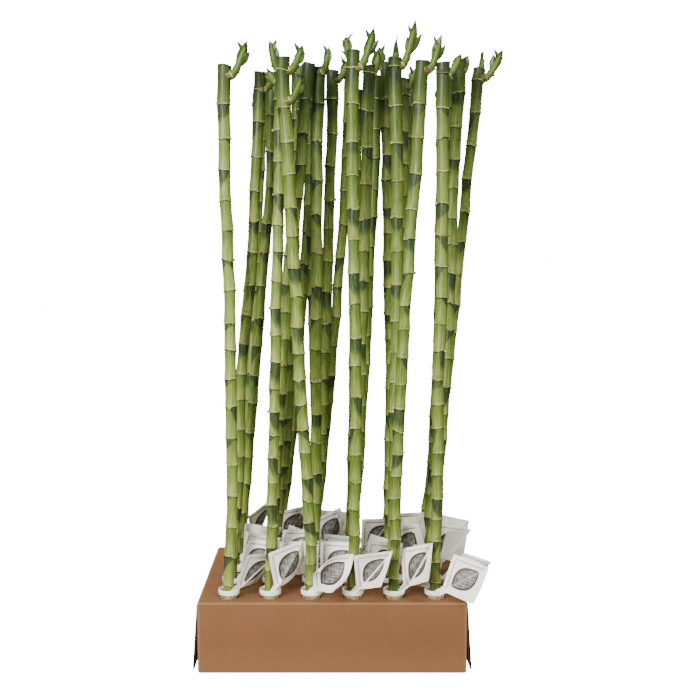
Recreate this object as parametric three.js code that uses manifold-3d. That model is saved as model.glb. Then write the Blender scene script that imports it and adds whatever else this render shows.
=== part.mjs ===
// Cut lucky bamboo canes standing in vials of water, held upright by a folded carton tray.
// Millimetres, +Z up. The origin is the middle of the carton's underside, with +X to the right
// and +Y to the back. Columns run along X from the left, rows run along Y from the front.
import * as THREE from 'three';
import { mergeVertices } from 'three/addons/utils/BufferGeometryUtils.js';
import Module from 'manifold-3d';

const wasm = await Module();
wasm.setup();

// Driving dimensions of the carton.
const CARTON = { width: 400, depth: 300, height: 108, board: 3 };
const CORNER_TAB = { length: 72, inset: 4.5, headroom: 1 };
const END_FLAP = { flare: 7, lip: 1, clearance: 6 };

// Driving dimensions of the grid of vials.
const GRID = { columns: 6, rows: 5, columnPitch: 62, rowPitch: 60, firstRow: 29 };

// Driving dimensions of a vial and of the open collar on its neck.
const VIAL = { sides: 6, radius: 13.6, floor: 2, neck: 5.5, gap: 0.3, holeSides: 6, holeRadius: 16 };
const COLLAR = { radius: 16.1, height: 7.8, wall: 1.7, recess: 3.4, hole: 10.8 };

// Driving dimensions of a cane and of its side shoots.
const CANE = { sides: 5, ring: 1.1, ledge: 3, taper: 0.35, bendStep: 160, gap: 0.3, nodeSpread: 0.08 };
const SHOOT = { sides: 4, radius: 4.3, root: 0.6, spike: 19, spikeWidth: 6, spikeThick: 2 };

// Along a shoot: the shares of its reach and rise at its elbow and shoulder, and how thick it is
// against its radius at its root, elbow and shoulder. A second and third spike stand on the
// shoulder and the elbow, turned out or in by a share of their length, and less to one side.
const SHOOT_COURSE = { elbow: [0.35, 0.1], shoulder: [0.8, 0.66], swell: [1, 1.1, 0.85] };
const SPIKE_TURN = { outward: [-0.55, 0.4], sideways: [-0.165, 0.12] };

// Driving dimensions of a paper tag: a square card drawn out at one corner into a neck.
const TAG = { side: 58, neck: 14, neckWidth: 10, thick: 0.8, seat: 12.3, sunk: 1.4 };

const DEGREE = Math.PI / 180;
const boardTop = CARTON.height;
const columnX = (column) => (column - (GRID.columns + 1) / 2) * GRID.columnPitch;
const rowY = (row) => GRID.firstRow - CARTON.depth / 2 + (row - 1) * GRID.rowPitch;
const vialFoot = CARTON.board + VIAL.gap;
const neckTop = boardTop + VIAL.neck;
const collarTop = neckTop + COLLAR.height;
const collarFloor = collarTop - COLLAR.recess;
const caneFoot = vialFoot + VIAL.floor + CANE.gap;

// Each cane: its column and row, how far its top stands above the board, its sideways bend at
// each bendStep of height, its lean to the back at the top, its radius, the length from its top
// to the first node, the internode lengths at its top and foot, and its shoots. A shoot has its
// depth below the top, the direction it points in (degrees, 0 to the right, 90 to the back),
// its reach and rise, and the number of cut leaf spikes on it.
const CANES = [
  { at: [1, 1], rise: 784, bend: [5, 5, 4, -1, 0], lean: 0, radius: 8.4, nodes: [56, 47, 42],
    shoots: [[16, -12, 30, 51, 3]] },
  { at: [2, 1], rise: 777, bend: [4, 7, 12, 16, 19], lean: 12, radius: 7.9, nodes: [40, 46, 31],
    shoots: [[14, 170, 14, 16, 1]] },
  { at: [3, 1], rise: 793, bend: [-5, -16, -23, -33, -40], lean: -12, radius: 8.8, nodes: [18, 50, 31],
    shoots: [[17, 190, 14, 42, 2], [20, -10, 24, 38, 2], [62, -20, 22, 38, 1]] },
  { at: [4, 1], rise: 804, bend: [3, 4, 1, -1, -1], lean: 0, radius: 8.3, nodes: [24, 52, 38],
    shoots: [[24, 0, 26, 59, 3], [8, 160, 6, 30, 2]] },
  { at: [5, 1], rise: 790, bend: [2, 9, 17, 29, 38], lean: -4, radius: 8.3, nodes: [62, 54, 26],
    shoots: [[14, 0, 22, 52, 3]] },
  { at: [6, 1], rise: 787, bend: [1, 2, 6, 4, 3], lean: 0, radius: 8.6, nodes: [15, 48, 30],
    shoots: [[16, 0, 22, 30, 1]] },
  { at: [1, 2], rise: 784, bend: [10, 16, 31, 40, 48], lean: 0, radius: 7.8, nodes: [28, 50, 38],
    shoots: [[26, 5, 18, 26, 2]] },
  { at: [2, 2], rise: 795, bend: [5, 15, 26, 45, 58], lean: -8, radius: 8.0, nodes: [52, 50, 36],
    shoots: [[22, 120, 12, 26, 1]] },
  { at: [3, 2], rise: 792, bend: [6, 6, 8, 8, 12], lean: 8, radius: 8.2, nodes: [55, 58, 42],
    shoots: [[8, -40, 16, 38, 3]] },
  { at: [4, 2], rise: 794, bend: [6, 12, 17, 21, 24], lean: 0, radius: 8.1, nodes: [12, 54, 40],
    shoots: [[12, 5, 10, 34, 3]] },
  { at: [5, 2], rise: 806, bend: [3, 4, 6, 5, 1], lean: 4, radius: 8.9, nodes: [14, 60, 40],
    shoots: [[14, 0, 26, 71, 3], [10, 80, 5, 42, 2]] },
  { at: [6, 2], rise: 803, bend: [9, 18, 25, 28, 36], lean: 0, radius: 8.3, nodes: [50, 48, 36],
    shoots: [[16, 40, 14, 24, 1]] },
  { at: [1, 3], rise: 762, bend: [5, 10, 25, 36, 41], lean: 0, radius: 7.6, nodes: [20, 50, 38],
    shoots: [[12, 80, 12, 26, 1]] },
  { at: [2, 3], rise: 770, bend: [3, 10, 22, 41, 50], lean: 2, radius: 7.7, nodes: [34, 48, 36],
    shoots: [[12, 60, 12, 26, 1]] },
  { at: [3, 3], rise: 795, bend: [10, 18, 24, 29, 32], lean: -4, radius: 8.1, nodes: [44, 52, 40],
    shoots: [[14, 10, 20, 32, 2]] },
  { at: [4, 3], rise: 789, bend: [10, 20, 27, 35, 37], lean: 10, radius: 7.9, nodes: [36, 50, 38],
    shoots: [[10, 100, 12, 28, 2]] },
  { at: [5, 3], rise: 807, bend: [-2, 0, -4, -8, -10], lean: -9, radius: 8.1, nodes: [56, 42, 38],
    shoots: [[10, 180, 6, 34, 2]] },
  { at: [6, 3], rise: 799, bend: [13, 27, 43, 57, 72], lean: 0, radius: 7.9, nodes: [20, 52, 40],
    shoots: [[14, 60, 14, 44, 2], [16, 0, 34, 46, 3]] },
  { at: [1, 4], rise: 794, bend: [15, 29, 42, 55, 60], lean: 0, radius: 7.9, nodes: [60, 56, 42],
    shoots: [[20, 10, 14, 32, 2]] },
  { at: [2, 4], rise: 800, bend: [14, 25, 30, 34, 37], lean: 2, radius: 7.9, nodes: [22, 52, 38],
    shoots: [[12, 80, 10, 30, 1]] },
  { at: [3, 4], rise: 786, bend: [4, 2, -1, -3, -5], lean: 0, radius: 8.0, nodes: [40, 54, 38],
    shoots: [[12, 70, 12, 30, 1]] },
  { at: [4, 4], rise: 775, bend: [2, 4, 6, 8, 8], lean: 0, radius: 7.9, nodes: [30, 50, 36],
    shoots: [[12, 90, 12, 28, 1]] },
  { at: [5, 4], rise: 791, bend: [6, 12, 17, 21, 22], lean: -4, radius: 7.9, nodes: [26, 54, 40],
    shoots: [[12, 10, 14, 30, 2]] },
  { at: [6, 4], rise: 791, bend: [12, 18, 22, 28, 31], lean: 0, radius: 7.8, nodes: [46, 50, 38],
    shoots: [[14, 60, 12, 28, 1]] },
  { at: [1, 5], rise: 783, bend: [9, 17, 26, 34, 42], lean: 0, radius: 7.9, nodes: [30, 54, 38],
    shoots: [[14, 120, 12, 26, 1]] },
  { at: [2, 5], rise: 800, bend: [20, 34, 46, 55, 66], lean: 0, radius: 8.0, nodes: [36, 56, 40],
    shoots: [[14, 60, 12, 28, 2]] },
  { at: [3, 5], rise: 806, bend: [15, 29, 43, 54, 60], lean: 0, radius: 8.0, nodes: [24, 56, 40],
    shoots: [[12, 100, 12, 26, 1]] },
  { at: [4, 5], rise: 768, bend: [9, 16, 22, 27, 30], lean: 0, radius: 7.7, nodes: [44, 50, 38],
    shoots: [[12, 90, 12, 26, 1]] },
  { at: [5, 5], rise: 798, bend: [9, 18, 27, 36, 39], lean: 0, radius: 7.9, nodes: [42, 54, 40],
    shoots: [[12, 70, 12, 30, 1]] },
  { at: [6, 5], rise: 776, bend: [15, 22, 25, 27, 27], lean: 0, radius: 7.7, nodes: [32, 50, 38],
    shoots: [[12, 110, 12, 26, 1]] },
];

// How each tag is turned, by column and row, in degrees: where its neck sits in the collar, from the
// right towards the front, then its rise above the level, its turn towards the front, and how far
// the half above its crease and the half below it are bent back.
const TAG_POSES = {
  '1_1': [69, 33, -31, -20, 43],
  '2_1': [74, 57, -15, -8, 41],
  '3_1': [98, 44, 19, -49, -42],
  '4_1': [88, 49, 11, -23, -61],
  '5_1': [35, 59, 11, 36, -57],
  '6_1': [80, 31, 18, 20, -36],
  '1_2': [33, 48, 31, 30, -79],
  '2_2': [47, 46, 20, -7, 28],
  '3_2': [35, 47, 21, 35, -49],
  '4_2': [53, 33, -33, 15, 26],
  '5_2': [47, 36, 30, 31, 22],
  '6_2': [57, 28, 16, 55, 46],
  '1_3': [72, 41, 20, 9, 20],
  '2_3': [47, 52, 17, 20, 16],
  '3_3': [52, 43, 15, -9, 11],
  '4_3': [56, 35, 13, 1, 7],
  '5_3': [35, 71, 40, 42, 74],
  '6_3': [35, 38, -23, -14, 65],
  '1_4': [70, 46, 24, -2, 1],
  '2_4': [75, 38, 21, 9, 37],
  '3_4': [43, 58, -2, 55, 76],
  '4_4': [35, 32, -22, 10, 30],
  '5_4': [57, 50, 13, 2, 22],
  '6_4': [100, 30, 1, 45, 36],
  '1_5': [35, 52, -23, -20, 47],
  '2_5': [100, 48, -7, -75, 39],
  '3_5': [43, 34, 23, 12, 17],
  '4_5': [62, 126, -25, -12, -17],
  '5_5': [70, 43, 8, 41, 16],
  '6_5': [75, 30, 4, 15, 22],
};

// Two neighbours in the back row whose tags are caught in one another.
const CAUGHT = { row: 5, left: 3, right: 4 };

// A repeatable draw between 0 and 1, started from a whole number.
function drawFrom(seed) {
  let state = seed;
  return () => {
    state = (state * 16807) % 2147483647;
    return state / 2147483647;
  };
}

// Closed solids from flat lists, from points and triangles and from three.js geometry.
function solidOf(vertProperties, triVerts) {
  return new wasm.Manifold(new wasm.Mesh({ numProp: 3, vertProperties, triVerts }));
}

function solidFromPoints(points, triangles) {
  const coordinates = points.flatMap((point) => point.toArray());
  return solidOf(new Float32Array(coordinates), new Uint32Array(triangles.flat()));
}

function solidFromGeometry(source) {
  source.deleteAttribute('normal');
  source.deleteAttribute('uv');
  const merged = mergeVertices(source);
  const coordinates = new Float32Array(merged.attributes.position.array);
  return solidOf(coordinates, new Uint32Array(merged.index.array));
}

function geometryOf(solid) {
  const mesh = solid.getMesh();
  const geometry = new THREE.BufferGeometry();
  geometry.setAttribute('position', new THREE.BufferAttribute(mesh.vertProperties, 3));
  geometry.setIndex(new THREE.BufferAttribute(mesh.triVerts, 1));
  return geometry;
}

const joined = (solids) => solids.reduce((all, next) => all.add(next));

function box(low, high) {
  const size = high.map((value, axis) => value - low[axis]);
  const middle = high.map((value, axis) => (value + low[axis]) / 2);
  return solidFromGeometry(new THREE.BoxGeometry(...size).translate(...middle));
}

// A closed skin over rings of the same number of points, with a flat end or one drawn to a tip.
function loft(rings, tip) {
  const sides = rings[0].length;
  const points = rings.flat();
  const triangles = [];
  for (let ring = 1; ring < rings.length; ring += 1) {
    for (let side = 0; side < sides; side += 1) {
      const next = (side + 1) % sides;
      const low = (ring - 1) * sides;
      const high = ring * sides;
      triangles.push([low + side, low + next, high + next]);
      triangles.push([low + side, high + next, high + side]);
    }
  }
  const last = (rings.length - 1) * sides;
  for (let side = 1; side < sides - 1; side += 1) {
    triangles.push([0, side + 1, side]);
    if (!tip) triangles.push([last, last + side, last + side + 1]);
  }
  if (tip) {
    points.push(tip);
    for (let side = 0; side < sides; side += 1) {
      triangles.push([last + side, last + (side + 1) % sides, points.length - 1]);
    }
  }
  return solidFromPoints(points, triangles);
}

// The carton: one folded sheet, open at the ends where the flaps stand loose.
function cartonSolid() {
  const { width, depth, height, board } = CARTON;
  const halfWidth = width / 2;
  const halfDepth = depth / 2;
  const panels = [
    box([-halfWidth, -halfDepth, height - board], [halfWidth, halfDepth, height]),
    box([-halfWidth, -halfDepth, 0], [halfWidth, halfDepth, board]),
    box([-halfWidth, -halfDepth, 0], [halfWidth, board - halfDepth, height]),
    box([-halfWidth, halfDepth - board, 0], [halfWidth, halfDepth, height]),
  ];
  for (const side of [-1, 1]) {
    const outer = side * (halfWidth - CORNER_TAB.inset);
    const inner = outer - side * board;
    const [tabLow, tabHigh] = [Math.min(outer, inner), Math.max(outer, inner)];
    const tabTop = height - board - CORNER_TAB.headroom;
    const innerY = halfDepth - board / 2;
    const tabY = halfDepth - CORNER_TAB.length;
    panels.push(box([tabLow, -innerY, board / 2], [tabHigh, -tabY, tabTop]));
    panels.push(box([tabLow, tabY, board / 2], [tabHigh, innerY, tabTop]));
    panels.push(endFlap(side));
  }
  return joined(panels).subtract(vialHoles());
}

// An end flap, hinged along the top edge and standing out at its foot.
function endFlap(side) {
  const { width, depth, height, board } = CARTON;
  const edge = width / 2 + END_FLAP.lip;
  const profile = new THREE.Shape([
    new THREE.Vector2(edge - board, height),
    new THREE.Vector2(edge + END_FLAP.flare - board, END_FLAP.clearance),
    new THREE.Vector2(edge + END_FLAP.flare, END_FLAP.clearance),
    new THREE.Vector2(edge, height - END_FLAP.lip),
    new THREE.Vector2(edge - END_FLAP.lip, height),
  ]);
  const length = depth - 2 * board;
  const geometry = new THREE.ExtrudeGeometry(profile, { depth: length, bevelEnabled: false });
  geometry.rotateX(Math.PI / 2).translate(0, length / 2, 0);
  if (side < 0) geometry.rotateZ(Math.PI);
  return solidFromGeometry(geometry);
}

// The holes in the top panel, each a little wider than a vial.
function vialHoles() {
  const { holeRadius, holeSides } = VIAL;
  const holes = [];
  for (let column = 1; column <= GRID.columns; column += 1) {
    for (let row = 1; row <= GRID.rows; row += 1) {
      const hole = new THREE.CylinderGeometry(holeRadius, holeRadius, 2 * CARTON.board, holeSides);
      hole.rotateX(Math.PI / 2);
      hole.translate(columnX(column), rowY(row), boardTop - CARTON.board / 2);
      holes.push(solidFromGeometry(hole));
    }
  }
  return joined(holes);
}

// A vial with its water and its open collar, and a plain hole for the cane down to its floor.
function vialSolid(column, row) {
  const profile = [
    [0, vialFoot],
    [VIAL.radius, vialFoot],
    [VIAL.radius, neckTop],
    [COLLAR.radius, neckTop],
    [COLLAR.radius, collarTop],
    [COLLAR.radius - COLLAR.wall, collarTop],
    [COLLAR.radius - COLLAR.wall, collarFloor],
    [COLLAR.hole, collarFloor],
    [COLLAR.hole, vialFoot + VIAL.floor],
    [0, vialFoot + VIAL.floor],
  ];
  const outline = profile.map((point) => new THREE.Vector2(...point));
  const lathe = new THREE.LatheGeometry(outline, VIAL.sides);
  lathe.rotateX(Math.PI / 2).rotateZ(Math.PI / VIAL.sides);
  lathe.translate(columnX(column), rowY(row), 0);
  return solidFromGeometry(lathe).add(tagSolid(column, row));
}

// A tag: the crease runs from the neck to the far corner.
function tagSolid(column, row) {
  const pose = TAG_POSES[`${column}_${row}`];
  const [seat, rise, turn, curl, fold] = pose.map((angle) => angle * DEGREE);
  const along = new THREE.Vector3(
    Math.cos(rise) * Math.cos(turn), -Math.cos(rise) * Math.sin(turn), Math.sin(rise));
  const facing = new THREE.Vector3(-Math.sin(turn), -Math.cos(turn), 0);
  const across = new THREE.Vector3().crossVectors(facing, along).normalize();
  const seatX = columnX(column) + TAG.seat * Math.cos(seat);
  const seatY = rowY(row) - TAG.seat * Math.sin(seat);
  const foot = new THREE.Vector3(seatX, seatY, collarFloor).addScaledVector(along, -TAG.sunk);
  const halfDiagonal = TAG.side * Math.SQRT1_2;
  const halfNeck = TAG.neckWidth / 2;
  const cardStart = TAG.neck - halfNeck;
  const edge = [
    [0, halfNeck],
    [TAG.neck, halfNeck],
    [cardStart + halfDiagonal, halfDiagonal],
    [cardStart + 2 * halfDiagonal, 0],
    [cardStart + halfDiagonal, -halfDiagonal],
    [TAG.neck, -halfNeck],
    [0, -halfNeck],
    [0, 0],
  ];
  const place = ([distance, offset], layer) => {
    const bent = offset < 0 ? fold : curl;
    return foot.clone()
      .addScaledVector(along, distance)
      .addScaledVector(across, offset * Math.cos(bent))
      .addScaledVector(facing, -Math.abs(offset) * Math.sin(bent) + layer);
  };
  const count = edge.length;
  const points = [
    ...edge.map((point) => place(point, TAG.thick / 2)),
    ...edge.map((point) => place(point, -TAG.thick / 2)),
  ];
  const faces = [[7, 1, 0], [7, 3, 1], [1, 3, 2], [7, 6, 5], [7, 5, 3], [5, 4, 3]];
  const triangles = [];
  for (const [a, b, c] of faces) {
    triangles.push([a, b, c]);
    triangles.push([a + count, c + count, b + count]);
  }
  for (let corner = 0; corner < count; corner += 1) {
    const next = (corner + 1) % count;
    triangles.push([corner, next, next + count]);
    triangles.push([corner, next + count, corner + count]);
  }
  return solidFromPoints(points, triangles);
}

// The middle of a cane at a height above the board: straight in its vial, then bent as listed.
function caneMiddle(cane, height) {
  const bends = [cane.bend[0], 0, ...cane.bend, 2 * cane.bend.at(-1) - cane.bend.at(-2)];
  const step = Math.min(Math.max(height, 0) / CANE.bendStep, cane.bend.length);
  const piece = Math.min(Math.floor(step), cane.bend.length - 1);
  const t = step - piece;
  const [before, start, end, after] = bends.slice(piece, piece + 4);
  const sideways = start + 0.5 * t * (end - before
    + t * (2 * before - 5 * start + 4 * end - after + t * (3 * (start - end) + after - before)));
  const rise = Math.max(height, 0) / cane.rise;
  return new THREE.Vector3(
    columnX(cane.at[0]) + sideways, rowY(cane.at[1]) + cane.lean * rise * rise, boardTop + height);
}

// Node heights above the board, from the top down: the internodes shorten towards the foot.
function nodeHeights(cane) {
  const [first, upper, lower] = cane.nodes;
  const draw = drawFrom(cane.at[0] * 1000 + cane.at[1] * 10);
  draw();
  const heights = [];
  let height = cane.rise - first;
  while (height > VIAL.neck + COLLAR.height) {
    heights.push(height);
    const fall = 1 - height / cane.rise;
    const internode = upper + (lower - upper) * fall;
    height -= internode * (1 + CANE.nodeSpread * (2 * draw() - 1));
  }
  return heights.reverse();
}

// A cane: each internode narrows upwards from the ring of the node below it.
function caneSolid(cane) {
  const rings = [];
  const right = new THREE.Vector3(1, 0, 0);
  const back = new THREE.Vector3(0, 1, 0);
  const add = (height, radius) => rings.push(
    ringAround(caneMiddle(cane, height), right, back, radius, CANE.sides));
  add(caneFoot - boardTop, cane.radius);
  for (const height of nodeHeights(cane)) {
    add(height - CANE.ledge, cane.radius - CANE.taper);
    add(height, cane.radius + CANE.ring);
  }
  add(cane.rise, cane.radius);
  const shoots = cane.shoots.map((shoot) => shootSolid(cane, shoot));
  return joined([loft(rings), ...shoots]);
}

// A side shoot: a short stalk that turns upwards, with cut leaf spikes on it.
function shootSolid(cane, [below, direction, reach, rise, spikes]) {
  const outward = new THREE.Vector3(
    Math.cos(direction * DEGREE), Math.sin(direction * DEGREE), 0);
  const up = new THREE.Vector3(0, 0, 1);
  const sideways = new THREE.Vector3().crossVectors(up, outward);
  const start = caneMiddle(cane, cane.rise - below);
  const spot = ([outShare, upShare]) => start.clone()
    .addScaledVector(outward, cane.radius * SHOOT.root + reach * outShare)
    .addScaledVector(up, rise * upShare);
  const path = [start, spot(SHOOT_COURSE.elbow), spot(SHOOT_COURSE.shoulder)];
  const tip = spot([1, 1]);
  const rings = path.map((middle, index) => {
    const ahead = (path[index + 1] ?? tip).clone().sub(middle).normalize();
    const over = new THREE.Vector3().crossVectors(ahead, sideways).normalize();
    const radius = SHOOT.radius * SHOOT_COURSE.swell[index];
    return ringAround(middle, sideways, over, radius, SHOOT.sides);
  });
  const parts = [loft(rings, tip)];
  for (let spike = 0; spike < spikes - 1; spike += 1) {
    const heading = up.clone()
      .addScaledVector(outward, SPIKE_TURN.outward[spike])
      .addScaledVector(sideways, SPIKE_TURN.sideways[spike])
      .normalize();
    parts.push(spikeSolid(path[path.length - 1 - spike], heading, sideways));
  }
  return joined(parts);
}

// A ring of points round a middle, in the plane of two directions.
function ringAround(middle, first, second, radius, sides) {
  const ring = [];
  for (let side = 0; side < sides; side += 1) {
    const angle = side / sides * 2 * Math.PI;
    ring.push(middle.clone()
      .addScaledVector(first, radius * Math.cos(angle))
      .addScaledVector(second, radius * Math.sin(angle)));
  }
  return ring;
}

// A cut leaf: a flat blade on three base corners that comes to a point.
function spikeSolid(seat, heading, sideways) {
  const width = sideways.clone().addScaledVector(heading, -sideways.dot(heading)).normalize();
  const depth = new THREE.Vector3().crossVectors(heading, width);
  const { spike, spikeWidth, spikeThick } = SHOOT;
  const base = [[spikeThick, 0], [-spikeThick, spikeWidth / 2], [-spikeThick, -spikeWidth / 2]];
  const ring = base.map(([x, y]) => seat.clone()
    .addScaledVector(width, x / 2)
    .addScaledVector(depth, y));
  return loft([ring], seat.clone().addScaledVector(heading, spike));
}

// A surface finish, and a named mesh of a solid with its finish.
function finish(color, roughness) {
  return new THREE.MeshStandardMaterial({ color, roughness, metalness: 0 });
}

function named(name, solid, material) {
  const mesh = new THREE.Mesh(geometryOf(solid), material);
  mesh.name = name;
  return mesh;
}

const group = new THREE.Group();
group.add(named('carton', cartonSolid(), finish(0xa47852, 0.85)));
for (const cane of CANES) {
  group.add(named(`cane_${cane.at.join('_')}`, caneSolid(cane), finish(0x93a758, 0.45)));
}
for (let row = 1; row <= GRID.rows; row += 1) {
  for (let column = 1; column <= GRID.columns; column += 1) {
    const isCaught = row === CAUGHT.row && (column === CAUGHT.left || column === CAUGHT.right);
    if (!isCaught) {
      group.add(named(`vial_${column}_${row}`, vialSolid(column, row), finish(0xe9ebe2, 0.4)));
    }
  }
}
const caughtPair = vialSolid(CAUGHT.left, CAUGHT.row).add(vialSolid(CAUGHT.right, CAUGHT.row));
const caughtName = `vials_${CAUGHT.left}_${CAUGHT.row}_and_${CAUGHT.right}_${CAUGHT.row}`;
group.add(named(caughtName, caughtPair, finish(0xe9ebe2, 0.4)));

export default group;
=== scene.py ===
"""Cut lucky bamboo canes in vials of water, held upright by a folded carton tray.

Metres, +Z up, the front of the tray towards -Y. Columns of vials run along X from the left and
rows run along Y from the front.
"""
import math

import bmesh
import bpy
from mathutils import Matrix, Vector


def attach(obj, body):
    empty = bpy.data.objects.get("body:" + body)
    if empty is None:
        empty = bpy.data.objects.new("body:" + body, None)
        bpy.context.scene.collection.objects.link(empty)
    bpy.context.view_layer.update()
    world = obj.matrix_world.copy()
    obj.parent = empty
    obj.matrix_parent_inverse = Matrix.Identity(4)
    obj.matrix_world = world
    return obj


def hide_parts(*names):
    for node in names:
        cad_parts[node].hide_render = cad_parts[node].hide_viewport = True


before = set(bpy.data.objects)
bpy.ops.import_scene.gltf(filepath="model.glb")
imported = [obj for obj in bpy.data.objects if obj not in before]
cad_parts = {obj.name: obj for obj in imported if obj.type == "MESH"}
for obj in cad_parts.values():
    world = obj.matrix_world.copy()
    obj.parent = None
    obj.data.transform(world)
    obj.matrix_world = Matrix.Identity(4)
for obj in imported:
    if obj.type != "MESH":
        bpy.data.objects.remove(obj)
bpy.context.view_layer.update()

bl_info = {
    "name": "Lucky bamboo tray",
    "version": (1, 0, 0),
    "blender": (4, 5, 0),
    "location": "View3D > Sidebar > Bamboo",
    "description": "Makes cut lucky bamboo canes in vials of water in a carton tray",
    "category": "Add Mesh",
}

MM = 0.001
# The factor and the limit of the common "minimal standard" generator of draws.
DRAW_FACTOR, DRAW_LIMIT = 16807, 2147483647

# The grid of vials, in millimetres.
COLUMNS, ROWS = 6, 5
COLUMN_PITCH, ROW_PITCH, FIRST_ROW = 62, 60, 29

# The carton, in millimetres: its tray, its corner tabs, and its hollow, which stays a little clear
# of the top and bottom panels and has corners of its own. The hole cutter reaches CUT_REACH above
# and below the top.
TRAY_WIDTH, TRAY_DEPTH, TRAY_HEIGHT = 400, 300, 108
TAB_LENGTH, TAB_INSET, TAB_HEADROOM = 72, 4.5, 1
HOLLOW_PLAY, HOLLOW_BEND, CUT_REACH = 0.8, 1, 12
# How the ends of the sleeve are softened: distance from the end, then how far the front and back
# stand in, and how far the top and bottom do.
END_SOFTENING = ((0, 1.1, 2.3), (0.5, 0.55, 1.4), (1.2, 0.2, 0.7), (2.4, 0.03, 0.2), (4, 0, 0))
# The end flap's outline, in X and Z, from its hinge down to its foot and back up, and how far its
# edges are softened.
FLAP_OUTLINE = (
    (197, 103), (204.9, 6), (207.9, 6), (201.2, 104), (200.8, 105.2), (199.8, 105.9),
    (198.2, 105.6))
FLAP_SOFTENING = 0.6

# Heights of the vial, its collar and the cane in it, in millimetres above the floor.
VIAL_FOOT, VIAL_NECK_TOP, COLLAR_FLOOR, COLLAR_TOP = 3.3, 113.5, 117.9, 121.3
CANE_FOOT = 5.6
# The rounding of a vial's foot, the gap between it and its water, how thick the skin of water is
# that stands for all of it, how far its hole is inside the collar's, and how far the collar sits
# above the neck. Millimetres.
FOOT_ROUNDING, WATER_GAP, WATER_SKIN, WATER_INSET, COLLAR_GAP = 1.5, 0.1, 2, 0.5, 0.2
# The collar's outline, in millimetres, round its outside from below and back to its hole: in from
# the outer radius and up from the collar's underside, then up from its top, then up from its
# floor, and last out from the hole and up from the floor.
COLLAR_UNDER = ((0.9, 0), (0.2, 0.4), (0, 1))
COLLAR_RIM = ((0, -1), (0.3, -0.3), (0.85, 0), (1.4, -0.3), (1.7, -1))
COLLAR_RECESS = ((1.8, 0.8), (2.4, 0.1))
COLLAR_LIP = ((1.2, 0), (0.3, -0.3), (0, -1))
# The angles, in degrees, past which an edge of each kind of piece stays sharp.
SHARP_BOARD, SHARP_PLASTIC, SHARP_CANE, SHARP_CARD = 35, 40, 55, 12

BEND_STEP = 160
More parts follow.
